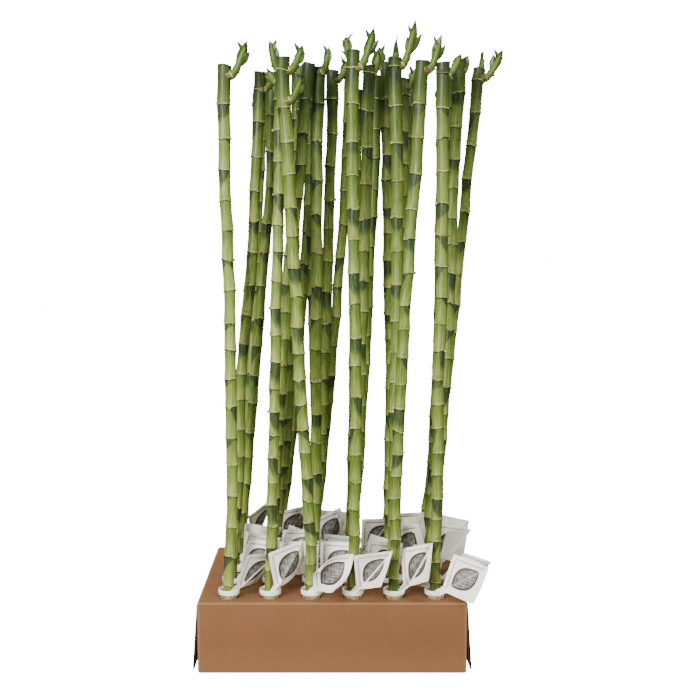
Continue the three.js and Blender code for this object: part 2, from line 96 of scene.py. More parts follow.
# Each cane: its column and row, how far its top stands above the board, its sideways bend at each
# BEND_STEP of height, its lean to the back at the top, its radius, the length from its top to the
# first node, the internode lengths at its top and foot, and its shoots. A shoot has its depth
# below the top, the direction it points in (degrees, 0 to the right, 90 to the back), its reach
# and rise, and the number of cut leaf spikes on it. Millimetres.
CANES = (
    ((1, 1), 784, (5, 5, 4, -1, 0), 0, 8.4, (56, 47, 42), ((16, -12, 30, 51, 3),)),
    ((2, 1), 777, (4, 7, 12, 16, 19), 12, 7.9, (40, 46, 31), ((14, 170, 14, 16, 1),)),
    ((3, 1), 793, (-5, -16, -23, -33, -40), -12, 8.8, (18, 50, 31),
     ((17, 190, 14, 42, 2), (20, -10, 24, 38, 2), (62, -20, 22, 38, 1))),
    ((4, 1), 804, (3, 4, 1, -1, -1), 0, 8.3, (24, 52, 38),
     ((24, 0, 26, 59, 3), (8, 160, 6, 30, 2))),
    ((5, 1), 790, (2, 9, 17, 29, 38), -4, 8.3, (62, 54, 26), ((14, 0, 22, 52, 3),)),
    ((6, 1), 787, (1, 2, 6, 4, 3), 0, 8.6, (15, 48, 30), ((16, 0, 22, 30, 1),)),
    ((1, 2), 784, (10, 16, 31, 40, 48), 0, 7.8, (28, 50, 38), ((26, 5, 18, 26, 2),)),
    ((2, 2), 795, (5, 15, 26, 45, 58), -8, 8.0, (52, 50, 36), ((22, 120, 12, 26, 1),)),
    ((3, 2), 792, (6, 6, 8, 8, 12), 8, 8.2, (55, 58, 42), ((8, -40, 16, 38, 3),)),
    ((4, 2), 794, (6, 12, 17, 21, 24), 0, 8.1, (12, 54, 40), ((12, 5, 10, 34, 3),)),
    ((5, 2), 806, (3, 4, 6, 5, 1), 4, 8.9, (14, 60, 40), ((14, 0, 26, 71, 3), (10, 80, 5, 42, 2))),
    ((6, 2), 803, (9, 18, 25, 28, 36), 0, 8.3, (50, 48, 36), ((16, 40, 14, 24, 1),)),
    ((1, 3), 762, (5, 10, 25, 36, 41), 0, 7.6, (20, 50, 38), ((12, 80, 12, 26, 1),)),
    ((2, 3), 770, (3, 10, 22, 41, 50), 2, 7.7, (34, 48, 36), ((12, 60, 12, 26, 1),)),
    ((3, 3), 795, (10, 18, 24, 29, 32), -4, 8.1, (44, 52, 40), ((14, 10, 20, 32, 2),)),
    ((4, 3), 789, (10, 20, 27, 35, 37), 10, 7.9, (36, 50, 38), ((10, 100, 12, 28, 2),)),
    ((5, 3), 807, (-2, 0, -4, -8, -10), -9, 8.1, (56, 42, 38), ((10, 180, 6, 34, 2),)),
    ((6, 3), 799, (13, 27, 43, 57, 72), 0, 7.9, (20, 52, 40),
     ((14, 60, 14, 44, 2), (16, 0, 34, 46, 3))),
    ((1, 4), 794, (15, 29, 42, 55, 60), 0, 7.9, (60, 56, 42), ((20, 10, 14, 32, 2),)),
    ((2, 4), 800, (14, 25, 30, 34, 37), 2, 7.9, (22, 52, 38), ((12, 80, 10, 30, 1),)),
    ((3, 4), 786, (4, 2, -1, -3, -5), 0, 8.0, (40, 54, 38), ((12, 70, 12, 30, 1),)),
    ((4, 4), 775, (2, 4, 6, 8, 8), 0, 7.9, (30, 50, 36), ((12, 90, 12, 28, 1),)),
    ((5, 4), 791, (6, 12, 17, 21, 22), -4, 7.9, (26, 54, 40), ((12, 10, 14, 30, 2),)),
    ((6, 4), 791, (12, 18, 22, 28, 31), 0, 7.8, (46, 50, 38), ((14, 60, 12, 28, 1),)),
    ((1, 5), 783, (9, 17, 26, 34, 42), 0, 7.9, (30, 54, 38), ((14, 120, 12, 26, 1),)),
    ((2, 5), 800, (20, 34, 46, 55, 66), 0, 8.0, (36, 56, 40), ((14, 60, 12, 28, 2),)),
    ((3, 5), 806, (15, 29, 43, 54, 60), 0, 8.0, (24, 56, 40), ((12, 100, 12, 26, 1),)),
    ((4, 5), 768, (9, 16, 22, 27, 30), 0, 7.7, (44, 50, 38), ((12, 90, 12, 26, 1),)),
    ((5, 5), 798, (9, 18, 27, 36, 39), 0, 7.9, (42, 54, 40), ((12, 70, 12, 30, 1),)),
    ((6, 5), 776, (15, 22, 25, 27, 27), 0, 7.7, (32, 50, 38), ((12, 110, 12, 26, 1),)),
)
# How far the length of an internode is drawn up or down, as a share of it.
NODE_SPREAD = 0.08
# A cane thickens upwards: the share of its height, and its girth there against its radius.
CANE_GIRTH = ((0, 0.98), (0.3, 1.05), (0.86, 1.08), (0.94, 1.2), (1, 1.24))
# The canes with a dark seal on their cut tops, how much less of a bare cut is dark, and how far
# down and in the edge of a cut is rounded, in two steps.
SEALED = ((6, 1), (2, 2), (3, 2), (3, 3), (2, 4), (4, 4), (5, 5))
RAW_CUT = 11
CUT_ROUNDING = ((0.7, 0.05), (0, 0.7))
# Along a cane's skin between two nodes: the share of the way up, and how far it stands out. It
# starts RING_REACH above a node and ends as far below the next.
SKIN_STATIONS = (
    (0, 0.3), (0.06, 0.18), (0.2, -0.1), (0.4, -0.38),
    (0.6, -0.42), (0.8, -0.35), (0.94, -0.22), (1, -0.18))
RING_REACH = 2.25
# How far a cane may step aside from node to node, and how far, in radians, its next dark patch may
# turn from the opposite side.
KINK, PATCH_TURN = 2.6, 0.9
# Across a node's ring: the height from its middle, how far it stands out, and how much it is ring.
# The skin above hangs over the skin below in a thin lip.
RING_STATIONS = (
    (-2.2, -0.2, 0), (-1.1, -0.45, 0), (-0.7, -0.4, 0), (-0.5, 0.7, 0.9), (0.0, 1, 1),
    (0.6, 0.8, 0.8), (1.4, 0.5, 0.1), (2.2, 0.36, 0))
# Up to RING_TOP above a ring's middle the skin counts as lying RING_BELOW or more below it, and
# FAR stands for no node near by.
RING_TOP, RING_BELOW, FAR = 1, 0.2, 9000

# Along a shoot: the shares of its reach and rise at its root, elbow, shoulder and tip, and how
# thick its skin is at stations numbered through them.
SHOOT_RADIUS, SHOOT_ROOT = 5.4, 0.6
SHOOT_COURSE = ((0, 0), (0.35, 0.1), (0.8, 0.66), (1, 1))
SHOOT_STATIONS = (
    (0, 1.5), (0.25, 1.75), (0.5, 1.6), (0.66, 1.25), (0.72, 1.35), (0.9, 1.15), (1.1, 1.0),
    (1.16, 1.12), (1.4, 0.92), (1.46, 1.02), (1.7, 0.82), (2, 0.62), (2.2, 0.4), (2.35, 0.2))
# The station where a shoot has its scar, how fast the scar fades from there, and the most of it.
# Its skin counts as SHOOT_ABOVE above a node, and is from the darker part of the canes' tones.
SCAR_PLACE, SCAR_NARROWNESS, SCAR_MOST = 0.45, 2.6, 2
SHOOT_ABOVE, SHOOT_TONE = 50, 0.7
# The fan at the tip: the station where it starts, the share of fans that are mirrored, and each
# blade's turn, its share of the length, and its width. Then which way the longer leaf bases lean,
# outwards and sideways, and where the small ones sit, and on which side.
FAN_ROOT, FAN_MIRRORED = 1.3, 0.3
FAN = ((0, 0.96, 17), (0.36, 0.7, 12), (-0.26, 0.5, 9))
SPIKE_TURNS = ((-0.55, -0.165), (0.4, 0.12))
TEETH = ((0.85, 1), (1.25, -1), (1.6, 1))
# How thick the fan's blades are. Then the length, width and thickness of the longer leaf bases and
# of the small ones, and how deep each kind is set in the stalk. Millimetres.
FAN_THICKNESS = 2.2
SPIKE_SIZE, SPIKE_DEPTH = (24, 7.5, 1.8), 6
TOOTH_SIZE, TOOTH_DEPTH = (15, 4.6, 1.4), 4
# How much longer a small one may be, in millimetres, and how far it leans away from the stalk: at
# least, and how much more it may.
TOOTH_GROWTH, TOOTH_LEAN = 5, (0.35, 0.3)
# How far each kind may be twisted about its own length, in radians, from side to side, and how
# far a small one may be out of its place, in stations.
FAN_TWIST, SPIKE_TWIST, TOOTH_TWIST, TOOTH_PLAY = 1.1, 1.2, 1.6, 0.2
# A blade: how wide it is on the way to its point, the places across it, and how it is folded. Then
# how far its tip curls away, as a share of its length, and how much thinner its edges and tip are.
LEAF_PROFILE = (
    (0, 0.55), (0.14, 0.68), (0.3, 0.88), (0.46, 1.0),
    (0.62, 0.9), (0.78, 0.6), (0.9, 0.28), (1, 0.03))
LEAF_STEPS = (-1, -0.5, 0, 0.5, 1)
LEAF_FOLD = 0.55
LEAF_CURL, TOOTH_CURL, LEAF_THINNING = 0.05, -0.1, 0.6
# The slow noise that makes rings wavy and skin uneven: how much faster it changes with each way
# in space than around the cane, and its scale. Then the least and greatest size of a dry bud.
WAVE_STRETCH, WAVE_SCALE = (10, 10, 40), 0.6
BUD_SIZES = (0.6, 1.2)

# Sizes of the patterns in the materials, in millimetres. Paper and card fibres and leaf ribs are
# drawn coarser than they are, because finer ones would be smaller than a pixel.
FIBRE, CLOUD, WARM_CLOUD, FLUTE = 1.1, 90, 43, 6.4
HAZE, SMUDGE = 17, 14
SKIN_RADIUS, STREAK_WIDTH, STREAK_LENGTH, BLOTCH = 8.3, 1.4, 21, 5.2
LEAF_WIDTH, RIB = 14, 0.6
CARD_FIBRE, CARD_CLOUD = 1.7, 33
# How often a ring's wear changes in a cane's radius, about every 12 mm, ribs change on their way
# down a blade, and the mottle of the print changes along a card's side, about every 6 mm.
WEAR, RIB_CHANGES, MOTTLE = 0.7, 2.5, 9
# How far apart the patterns of two canes, nodes, rings or leaf bases are taken from their noise,
# at the most, so that no two look alike.
CANE_APART, NODE_APART, RING_APART, LEAF_APART = 31, 37, 53, 23
# The dark patch below a node: its least length and how much longer it may be, in millimetres, half
# its width at the node and how much wider that may be, how far its point may drift aside, and how
# ragged its edge is, in radians.
PATCH_LENGTH, PATCH_SPREAD, PATCH_DRIFT, PATCH_RAGGED = (10, 34), (1.2, 2.4), 1.3, 0.4
# The print on a card, in card sides: half the length and width of the leaf motif, how far apart
# its veins are, and of the dotted rules how far from the edge they are, half their width and
# length, and half the pitch of their dots.
LEAF_MOTIF, VEIN_PITCH = (0.43, 0.29), 0.055
RULE_INSET, RULE_WIDTH, RULE_LENGTH, DOT_PITCH = 0.1, 0.024, 0.4, 0.02

# How each tag is turned, in degrees: where the neck sits in the collar, from the right towards the
# front, then its rise above the level, its turn towards the front, and how far the half above its
# crease and the half below it are bent back.
TAG_POSES = {
    (1, 1): (69, 33, -31, -20, 43), (2, 1): (74, 57, -15, -8, 41), (3, 1): (98, 44, 19, -49, -42),
    (4, 1): (88, 49, 11, -23, -61), (5, 1): (35, 59, 11, 36, -57), (6, 1): (80, 31, 18, 20, -36),
    (1, 2): (33, 48, 31, 30, -79), (2, 2): (47, 46, 20, -7, 28), (3, 2): (35, 47, 21, 35, -49),
    (4, 2): (53, 33, -33, 15, 26), (5, 2): (47, 36, 30, 31, 22), (6, 2): (57, 28, 16, 55, 46),
    (1, 3): (72, 41, 20, 9, 20), (2, 3): (47, 52, 17, 20, 16), (3, 3): (52, 43, 15, -9, 11),
    (4, 3): (56, 35, 13, 1, 7), (5, 3): (35, 71, 40, 42, 74), (6, 3): (35, 38, -23, -14, 65),
    (1, 4): (70, 46, 24, -2, 1), (2, 4): (75, 38, 21, 9, 37), (3, 4): (43, 58, -2, 55, 76),
    (4, 4): (35, 32, -22, 10, 30), (5, 4): (57, 50, 13, 2, 22), (6, 4): (100, 30, 1, 45, 36),
    (1, 5): (35, 52, -23, -20, 47), (2, 5): (100, 48, -7, -75, 39), (3, 5): (43, 34, 23, 12, 17),
    (4, 5): (62, 126, -25, -12, -17), (5, 5): (70, 43, 8, 41, 16), (6, 5): (75, 30, 4, 15, 22),
}
# The neck's length and width, how far from the collar's middle it stands, and how far it is pushed
# into the collar. Millimetres.
TAG_NECK, TAG_NECK_WIDTH, TAG_SEAT, TAG_SUNK = 14, 10, 12.3, 1.4
# How the cards in the front row and one at the right edge bend: how much of the bend is at the
# crease, the rest growing towards the corners, then how far a pleat along the diagonal stands out,
# how far the diagonal bows and how far its far corner bends away, in millimetres, and a factor on
# both bends. The other cards draw theirs up to TAG_RANGES, and are rocked up or down by up to
# TAG_ROCK degrees.
TAG_SHAPES = {
    (1, 1): (0.9, 3, 2, 0, 1), (2, 1): (0.3, 4, 2, 8, 1.2), (3, 1): (0.0, 0, 2, 10, 1.35),
    (4, 1): (0.9, 6, 0, 0, 1), (5, 1): (0.9, 10, 0, 3, 1), (6, 1): (0.6, 0, 1, 0, 1),
    (6, 3): (0.8, 2, 3, 6, 1)}
TAG_RANGES = (0.9, 8, 9, 16, 1.7)
TAG_ROCK = 9
# The pleat: how far from the crease it reaches, how far it leans over, as a share of its height,
# and how fast it rises along the diagonal.
PLEAT_WIDTH, PLEAT_LEAN, PLEAT_RISE = 3.6, 0.6, 5
# A card's mesh: the rows along its neck and then along its diagonal, its columns on each side of
# the crease and how they crowd towards it, half the width of its blunt far corner, and the steps
# in which its bend adds up.
NECK_ROWS, CARD_ROWS, CARD_COLUMNS, COLUMN_CROWDING = (0, 5, 10), 26, 8, 1.8
CARD_TIP, TAG_STEPS = 0.25, 6
# The cards that show their plain side to the front.
TURNED_TAGS = ((2, 2), (6, 3), (4, 3), (5, 4), (1, 4), (3, 5), (6, 5))
# Two vials in the back row share a node, because their cards are caught in one another.
CAUGHT_NODE = "vials_3_5_and_4_5"
CAUGHT_PLACES = ((3, 5), (4, 5))

# The camera stands in front of the tray, a little to the left of the photograph's middle.
CAMERA_PLACE = (0, -1.689, 0.632)
CAMERA_PITCH = math.atan(0.0944)
CAMERA_LENS, CAMERA_SENSOR, CAMERA_SHIFT = 55.35, 36, 0.0227
# Each light's place, its width and height, and whether the waxy skin mirrors it. They all point at
# LIGHT_AIM. Metres.
LIGHTS = {
    "key": ((-1.1, -2.3, 1.5), (0.9, 1.8), True), "fill": ((1.3, -2.1, 1.2), (0.7, 1.8), False),
    "top": ((0.1, -0.3, 2.5), (1.6, 1.2), True), "back": ((0.5, 2.4, 1.3), (1.6, 1.6), False)}
LIGHT_AIM = Vector((0, 0, 0.45))
# The round floor, which turns up into a wall all round: its radius, the height of the wall, the
# radius of the bend between them, and the steps of the bend and sides of the round. Metres.
FLOOR_REACH, WALL_HEIGHT, FLOOR_BEND, BEND_STEPS, FLOOR_SIDES = 5.0, 5.0, 1.5, 8, 48


def linear(code):
    """The linear colour, with alpha, of an sRGB hex code."""
    parts = [int(code[i:i + 2], 16) / 255 for i in (1, 3, 5)]
    return (*(p / 12.92 if p <= 0.04045 else ((p + 0.055) / 1.055) ** 2.4 for p in parts), 1.0)


def colour(name, description, code):
    """A colour setting with its default as an sRGB hex code."""
    return bpy.props.FloatVectorProperty(
        name=name, description=description, subtype="COLOR", size=4, min=0, max=1,
        default=linear(code))


def number(name, description, default, **more):
    """A number setting, with its unit and limits where it has them."""
    return bpy.props.FloatProperty(name=name, description=description, default=default, **more)


def length(name, description, millimetres):
    """A length setting with its default in millimetres."""
    return number(name, description, millimetres * MM, unit="LENGTH", precision=5, min=0)


class CartonSettings(bpy.types.PropertyGroup):
    """Sizes and colours of the carton tray."""
    board: length("Board", "Thickness of the corrugated board", 3)
    bend: length("Bend", "Outer radius of the folds", 3.4)
    hole: length("Hole radius", "Radius of the holes for the vials", 14.6)
    paper: colour("Paper", "Colour of the brown liner paper", "#724D2E")
    fold: colour("Fold", "Colour of the stretched paper at a fold", "#8D6A4A")
    core: colour("Core", "Colour of the cut edge between the liners", "#2F1C0E")


class VialSettings(bpy.types.PropertyGroup):
    """Sizes and colours of the vials, their water and their collars."""
    radius: length("Radius", "Outer radius of a vial", 13.6)
    wall: length("Wall", "Thickness of a vial's wall", 0.9)
    water_top: length("Water level", "Height of the water above the floor", 104)
    collar_radius: length("Collar radius", "Outer radius of a collar", 16.1)
    collar_hole: length("Collar hole", "Radius of the hole for the cane", 9.8)
    plastic: colour("Vial", "Tint of the clear vial", "#D9C8A2")
    water: colour("Water", "Tint of the water", "#D9E4CB")
    collar: colour("Collar", "Colour of the collar", "#F2EEDF")


class CaneSettings(bpy.types.PropertyGroup):
    """Sizes and colours of the canes and their shoots."""
    sides: bpy.props.IntProperty(
        name="Sides", description="Sides of a cane's skin", default=20, min=8, max=48)
    ring: length("Ring", "How far a node's ring stands out", 0.9)
    ring_tilt: length("Ring tilt", "How far a ring waves up and down", 8.5)
    unevenness: length("Unevenness", "How far the skin swells and shrinks", 1.1)
    bud: length("Bud", "Radius of a dry bud on a ring", 2.0)
    bare: number("Bare share", "Share of the rings without a bud", 0.55, min=0, max=1)
    skin: colour("Skin", "Main green of the skin", "#6E8232")
    young: colour("Young skin", "Paler green just above a node", "#97A04F")
    patch: colour("Patch", "Dark grey-green below a node", "#1B2614")
    ring_green: colour("Fresh ring", "Pale green of a node's ring", "#9AA05E")
    ring_tan: colour("Ring", "Dry tan of a node's ring", "#B4AA7A")
    ring_rust: colour("Rusty ring", "Orange-brown of some rings", "#965A2A")
    scar: colour("Scar", "Brown of the shoots' scars and of dried stains", "#654D26")
    seal: colour("Cut top", "Dark end of a cut cane", "#262F1B")
    leaf: colour("Leaf", "Green of the cut leaf bases", "#384D16")
    leaf_edge: colour("Leaf edge", "Paler edge of a leaf base", "#5A6A2C")


class TagSettings(bpy.types.PropertyGroup):
    """Sizes and colours of the paper tags."""
    side: length("Side", "Side of the square card", 58)
    thickness: length("Thickness", "Thickness of the card", 0.5)
    card: colour("Card", "White of the card", "#F8F3E4")
    ink: colour("Ink", "Dark brown of the outline", "#3B2B22")
    field: colour("Field", "Grey of the leaf motif", "#45433E")
    rule: colour("Rule", "Grey of the dotted rule", "#3E3E42")


class StageSettings(bpy.types.PropertyGroup):
    """The floor and the lights."""
    floor: colour("Floor", "Colour of the floor", "#FFFFFF")
    glow: number("Floor glow", "How brightly the floor is lit for the camera", 16)
    key: number("Key light", "Power of the main light", 172, unit="POWER")
    fill: number("Fill light", "Power of the fill light", 38, unit="POWER")
    top: number("Top light", "Power of the light overhead", 39, unit="POWER")
    back: number("Back light", "Power of the light behind", 110, unit="POWER")
    sky: number("Surroundings", "Strength of the white surroundings", 0.25)


# The kinds of node that the materials and trees use most.
MATH, VECTOR, SPLIT, JOIN = (
    "ShaderNodeMath", "ShaderNodeVectorMath", "ShaderNodeSeparateXYZ", "ShaderNodeCombineXYZ")
MIX, RANGE, NOISE = "ShaderNodeMix", "ShaderNodeMapRange", "ShaderNodeTexNoise"


def draw_from(seed):
    """A repeatable draw between 0 and 1, started from a whole number. The first draw follows the
    seed too closely to look drawn, so it is thrown away."""
    state = [seed]

    def draw():
        state[0] = state[0] * DRAW_FACTOR % DRAW_LIMIT
        return state[0] / DRAW_LIMIT

    draw()
    return draw


def column_x(column):
    """The middle of a column of vials, in millimetres."""
    return (column - (COLUMNS + 1) / 2) * COLUMN_PITCH


def row_y(row):
    """The middle of a row of vials, in millimetres."""
    return FIRST_ROW - TRAY_DEPTH / 2 + (row - 1) * ROW_PITCH


def vial_node(place):
    """The node that holds the vial at a place."""
    return CAUGHT_NODE if place in CAUGHT_PLACES else "vial_%d_%d" % place


def all_vial_nodes():
    """The nodes that hold all the vials."""
    return sorted({vial_node(place) for place in TAG_POSES})


def feed(tree, node, inputs):
    """Puts values, sRGB hex codes, sockets or whole nodes on a node's inputs."""
    for key, value in inputs.items():
        if isinstance(value, bpy.types.Node):
            value = next(socket for socket in value.outputs if socket.enabled)
        if isinstance(value, bpy.types.NodeSocket):
            tree.links.new(value, node.inputs[key])
        else:
            is_code = isinstance(value, str) and value.startswith("#")
            node.inputs[key].default_value = linear(value) if is_code else value
    return node


def add(tree, kind, inputs=None, **settings):
    """A new node with its settings, and with what feed takes on its inputs."""
    node = tree.nodes.new(kind)
    for name, value in settings.items():
        setattr(node, name, value)
    return feed(tree, node, inputs or {})


def object_from(name, data):
    """A new object in the scene, from a mesh, a light or a camera."""
    piece = bpy.data.objects.new(name, data)
    bpy.context.scene.collection.objects.link(piece)
    return piece


def mesh_from(name, points, faces, edges=()):
    """A new mesh from its points, faces and loose edges."""
    mesh = bpy.data.meshes.new(name)
    mesh.from_pydata(points, edges, faces)
    return mesh


def finish_with(piece, *materials):
    """Gives a piece its materials, in the order that its faces number them."""
    for material in materials:
        piece.data.materials.append(material)


def baked(piece):
    """Turns the piece's modifiers into plain mesh, and removes them."""
    graph = bpy.context.evaluated_depsgraph_get()
    mesh = bpy.data.meshes.new_from_object(
        piece.evaluated_get(graph), preserve_all_data_layers=True, depsgraph=graph)
    piece.modifiers.clear()
    old = piece.data
    piece.data = mesh
    mesh.name = piece.name
    bpy.data.meshes.remove(old)
    return piece


def tree_on(piece, tree, **values):
    """Puts a geometry node tree on a piece, with its inputs set by their identifiers."""
    modifier = piece.modifiers.new(tree.name, "NODES")
    modifier.node_group = tree
    for item in tree.interface.items_tree:
        if item.item_type == "SOCKET" and item.in_out == "INPUT" and item.name in values:
            modifier[item.identifier] = values[item.name]


def new_tree(name, inputs):
    """An empty geometry node tree, with the sockets of its named inputs and its output node."""
    tree = bpy.data.node_groups.new(name, "GeometryNodeTree")
    for label, kind in inputs.items():
        tree.interface.new_socket(label, in_out="INPUT", socket_type="NodeSocket" + kind)
    tree.interface.new_socket("Geometry", in_out="OUTPUT", socket_type="NodeSocketGeometry")
    return tree, add(tree, "NodeGroupInput").outputs, add(tree, "NodeGroupOutput")


def grid_tree():
    """Repeats a shape at every place of the grid of vials."""
    tree, given, out = new_tree("Grid of vials", {
        "Geometry": "Geometry", "Columns": "Int", "Rows": "Int", "Width": "Float",
        "Depth": "Float", "Middle": "Vector", "Finish": "Material"})
    grid = add(tree, "GeometryNodeMeshGrid", {
        "Size X": given["Width"], "Size Y": given["Depth"],
        "Vertices X": given["Columns"], "Vertices Y": given["Rows"]})
    placed = add(tree, "GeometryNodeTransform", {"Geometry": grid, "Translation": given["Middle"]})
    copies = add(tree, "GeometryNodeInstanceOnPoints", {
        "Points": placed, "Instance": given["Geometry"]})
    real = add(tree, "GeometryNodeRealizeInstances", {"Geometry": copies})
    done = add(tree, "GeometryNodeSetMaterial", {"Geometry": real, "Material": given["Finish"]})
    feed(tree, out, {"Geometry": done})
    return tree


def on_grid(piece, finish):
    """Repeats a piece on the grid of vials and bakes it."""
    tree_on(
        piece, grid_tree(), Columns=COLUMNS, Rows=ROWS, Width=(COLUMNS - 1) * COLUMN_PITCH * MM,
        Depth=(ROWS - 1) * ROW_PITCH * MM, Middle=(0, (row_y(1) + row_y(ROWS)) / 2 * MM, 0),
        Finish=finish)
    return baked(piece)


def turned_outwards(shape, mesh):
    """Puts a bmesh of closed shells into a mesh, with its faces turned outwards."""
    bmesh.ops.recalc_face_normals(shape, faces=shape.faces)
    shape.to_mesh(mesh)
    shape.free()
    return mesh


def lathe(name, profile, sides):
    """A closed solid of revolution about Z from a closed profile of (radius, height) in metres."""
    points, faces = [], []
    count = len(profile)
    for side in range(sides):
        angle = 2 * math.pi * side / sides
        points += [(r * math.cos(angle), r * math.sin(angle), z) for r, z in profile]
        low, high = side * count, (side + 1) % sides * count
        for i in range(count):
            j = (i + 1) % count
            faces.append((low + i, high + i, high + j, low + j))
    mesh = mesh_from(name, points, faces)
    shape = bmesh.new()
    shape.from_mesh(mesh)
    bmesh.ops.remove_doubles(shape, verts=shape.verts, dist=0.001 * MM)
    return object_from(name, turned_outwards(shape, mesh))


def smooth_to(mesh, degrees):
    """Shades a mesh smooth, with edges sharper than an angle kept sharp."""
    mesh.shade_smooth()
    mesh.set_sharp_from_angle(angle=math.radians(degrees))


def shader(name):
    """A material with its tree and an empty Principled surface."""
    material = bpy.data.materials.new(name)
    material.use_nodes = True
    tree = material.node_tree
    surface = tree.nodes["Principled BSDF"]
    return material, tree, surface


# ---- Materials

def layered(tree, base, *layers):
    """Colours laid over a base colour. Each layer has its colour, its strength, and the fields
    that let it show, each with the values where it starts and where it is full."""
    for shade, strength, *fields in layers:
        for field, start, full in fields:
            strength = add(tree, RANGE, {
                "Value": field, "From Min": start, "From Max": full, "To Max": strength},
                interpolation_type="SMOOTHSTEP")
        base = add(tree, MIX, {0: strength, 6: base, 7: shade}, data_type="RGBA")
    return base


def board_material(settings, cut_edge=False):
    """Corrugated board: kraft liner, die cut and folded. Fibres and clouds of other browns keep the
    matt paper alive. A paler band along its rounded top fold and its rounded ends is partly
    stretched paper and partly a painted highlight on the curve. Its cut edges are near black:
    painted shade in the hollows of the flutes."""
    material, tree, surface = shader("corrugated_board_edge" if cut_edge else "kraft_liner_board")
    place = add(tree, "ShaderNodeTexCoord").outputs["Object"]
    axes = add(tree, SPLIT, {0: place}).outputs
    fibres, clouds, warmth = [
        add(tree, NOISE, {"Vector": place, "Scale": 1 / (size * MM), "Detail": 3.0})
        for size in (FIBRE, CLOUD, WARM_CLOUD)]
    # A wave node's bands are a tenth of pi apart at a scale of 1.
    flutes = add(tree, "ShaderNodeTexWave", {
        "Vector": place, "Scale": math.pi / 10 / (FLUTE * MM), "Distortion": 0.4},
        bands_direction="X")
    # How far a point is from the front or back plus how far from the top or bottom.
    across = add(tree, MATH, {0: axes["Y"]}, operation="ABSOLUTE")
    inward = add(tree, MATH, {0: TRAY_DEPTH / 2 * MM, 1: across}, operation="SUBTRACT")
    downward = add(tree, MATH, {0: TRAY_HEIGHT * MM, 1: axes["Z"]}, operation="SUBTRACT")
    upward = add(tree, MATH, {0: axes["Z"], 1: downward}, operation="MINIMUM")
    from_fold = add(tree, MATH, {0: inward, 1: upward}, operation="ADD")
    sideways = add(tree, MATH, {0: axes["X"]}, operation="ABSOLUTE")
    from_end = add(tree, MATH, {0: TRAY_WIDTH / 2 * MM, 1: sideways}, operation="SUBTRACT")
    if cut_edge:
        # The cut edge is near black between the flutes and dark brown on them: painted shade in the
        # hollow flutes.
        paper = layered(tree, "#0F0804", (settings.core, 1.0, (flutes, 0.35, 0.6)))
    else:
        paper = layered(
            tree, settings.paper,
            ("#694A29", 0.6, (clouds, 0.35, 0.65)),
            ("#7A4D31", 0.5, (warmth, 0.45, 0.65)),
            ("#8D653E", 0.3, (axes["Z"], 0.05, 0.0)),
            ("#5B3B21", 0.5, (fibres, 0.52, 0.75)),
            # Paler bands along the rounded top fold and the rounded ends: partly stretched paper,
            # partly a painted highlight on the curve.
            (settings.fold, 0.5, (from_fold, 2.7 * MM, 2.1 * MM)),
            (settings.fold, 0.45, (from_end, 4.2 * MM, 2.8 * MM), (from_end, -1 * MM, 0.0)))
    ridges = add(tree, MATH, {0: flutes, 1: 0.12, 2: fibres}, operation="MULTIPLY_ADD")
    bump = add(tree, "ShaderNodeBump", {"Height": ridges, "Strength": 0.25, "Distance": 0.4 * MM})
    feed(tree, surface, {
        "Base Color": paper, "Roughness": 0.86, "Specular IOR Level": 0.3, "Normal": bump})
    return material


def clear_material(name, tint, ior, roughness, clearness=1.0):
    """Clear moulded plastic or still water: smooth, with a light tint that deepens in clouds."""
    material, tree, surface = shader(name)
    place = add(tree, "ShaderNodeTexCoord").outputs["Object"]
    haze = add(tree, NOISE, {"Vector": place, "Scale": 1 / (HAZE * MM), "Detail": 2.0})
    feed(tree, surface, {
        "Base Color": layered(tree, tint, ("#BFB391", 0.5, (haze, 0.3, 0.8))),
        "Transmission Weight": clearness, "IOR": ior, "Roughness": roughness})
    return material


def from_vial_axis(tree, place):
    """How far a point is from the axis of the nearest vial."""
    half_pitch = (COLUMN_PITCH / 2 * MM, ROW_PITCH / 2 * MM, 1)
    shifted = add(tree, VECTOR, {
        0: place, 1: (column_x(1) * MM, row_y(1) * MM, 0)}, operation="SUBTRACT")
    wrapped = add(tree, VECTOR, {
        0: shifted, 1: half_pitch, 2: [-part for part in half_pitch]}, operation="WRAP")
    flat = add(tree, VECTOR, {0: wrapped, 1: (1, 1, 0)}, operation="MULTIPLY")
    return add(tree, VECTOR, {0: flat}, operation="LENGTH")


def collar_material(settings):
    """Moulded polyethylene: off-white with a soft sheen, yellowed in clouds where it was handled,
    and darkened by painted shade on the floor of its recess."""
    material, tree, surface = shader("moulded_polyethylene")
    place = add(tree, "ShaderNodeTexCoord").outputs["Object"]
    height = add(tree, SPLIT, {0: place}).outputs["Z"]
    clouds = add(tree, NOISE, {"Vector": place, "Scale": 1 / (SMUDGE * MM), "Detail": 3.0})
    radius = from_vial_axis(tree, place)
    plastic = layered(
        tree, settings.collar,
        ("#D9D3BD", 0.5, (clouds, 0.4, 0.75)),
        # Painted shade: dark grey-green on the recess floor inside the rim.
        ("#6F745A", 0.85, (height, (COLLAR_FLOOR + 1.5) * MM, COLLAR_FLOOR * MM),
         (radius, settings.collar_radius - 1.2 * MM, settings.collar_radius - 2.2 * MM)))
    bump = add(tree, "ShaderNodeBump", {"Height": clouds, "Strength": 0.08, "Distance": 0.5 * MM})
    feed(tree, surface, {"Base Color": plastic, "Roughness": 0.38, "IOR": 1.51, "Normal": bump})
    return material


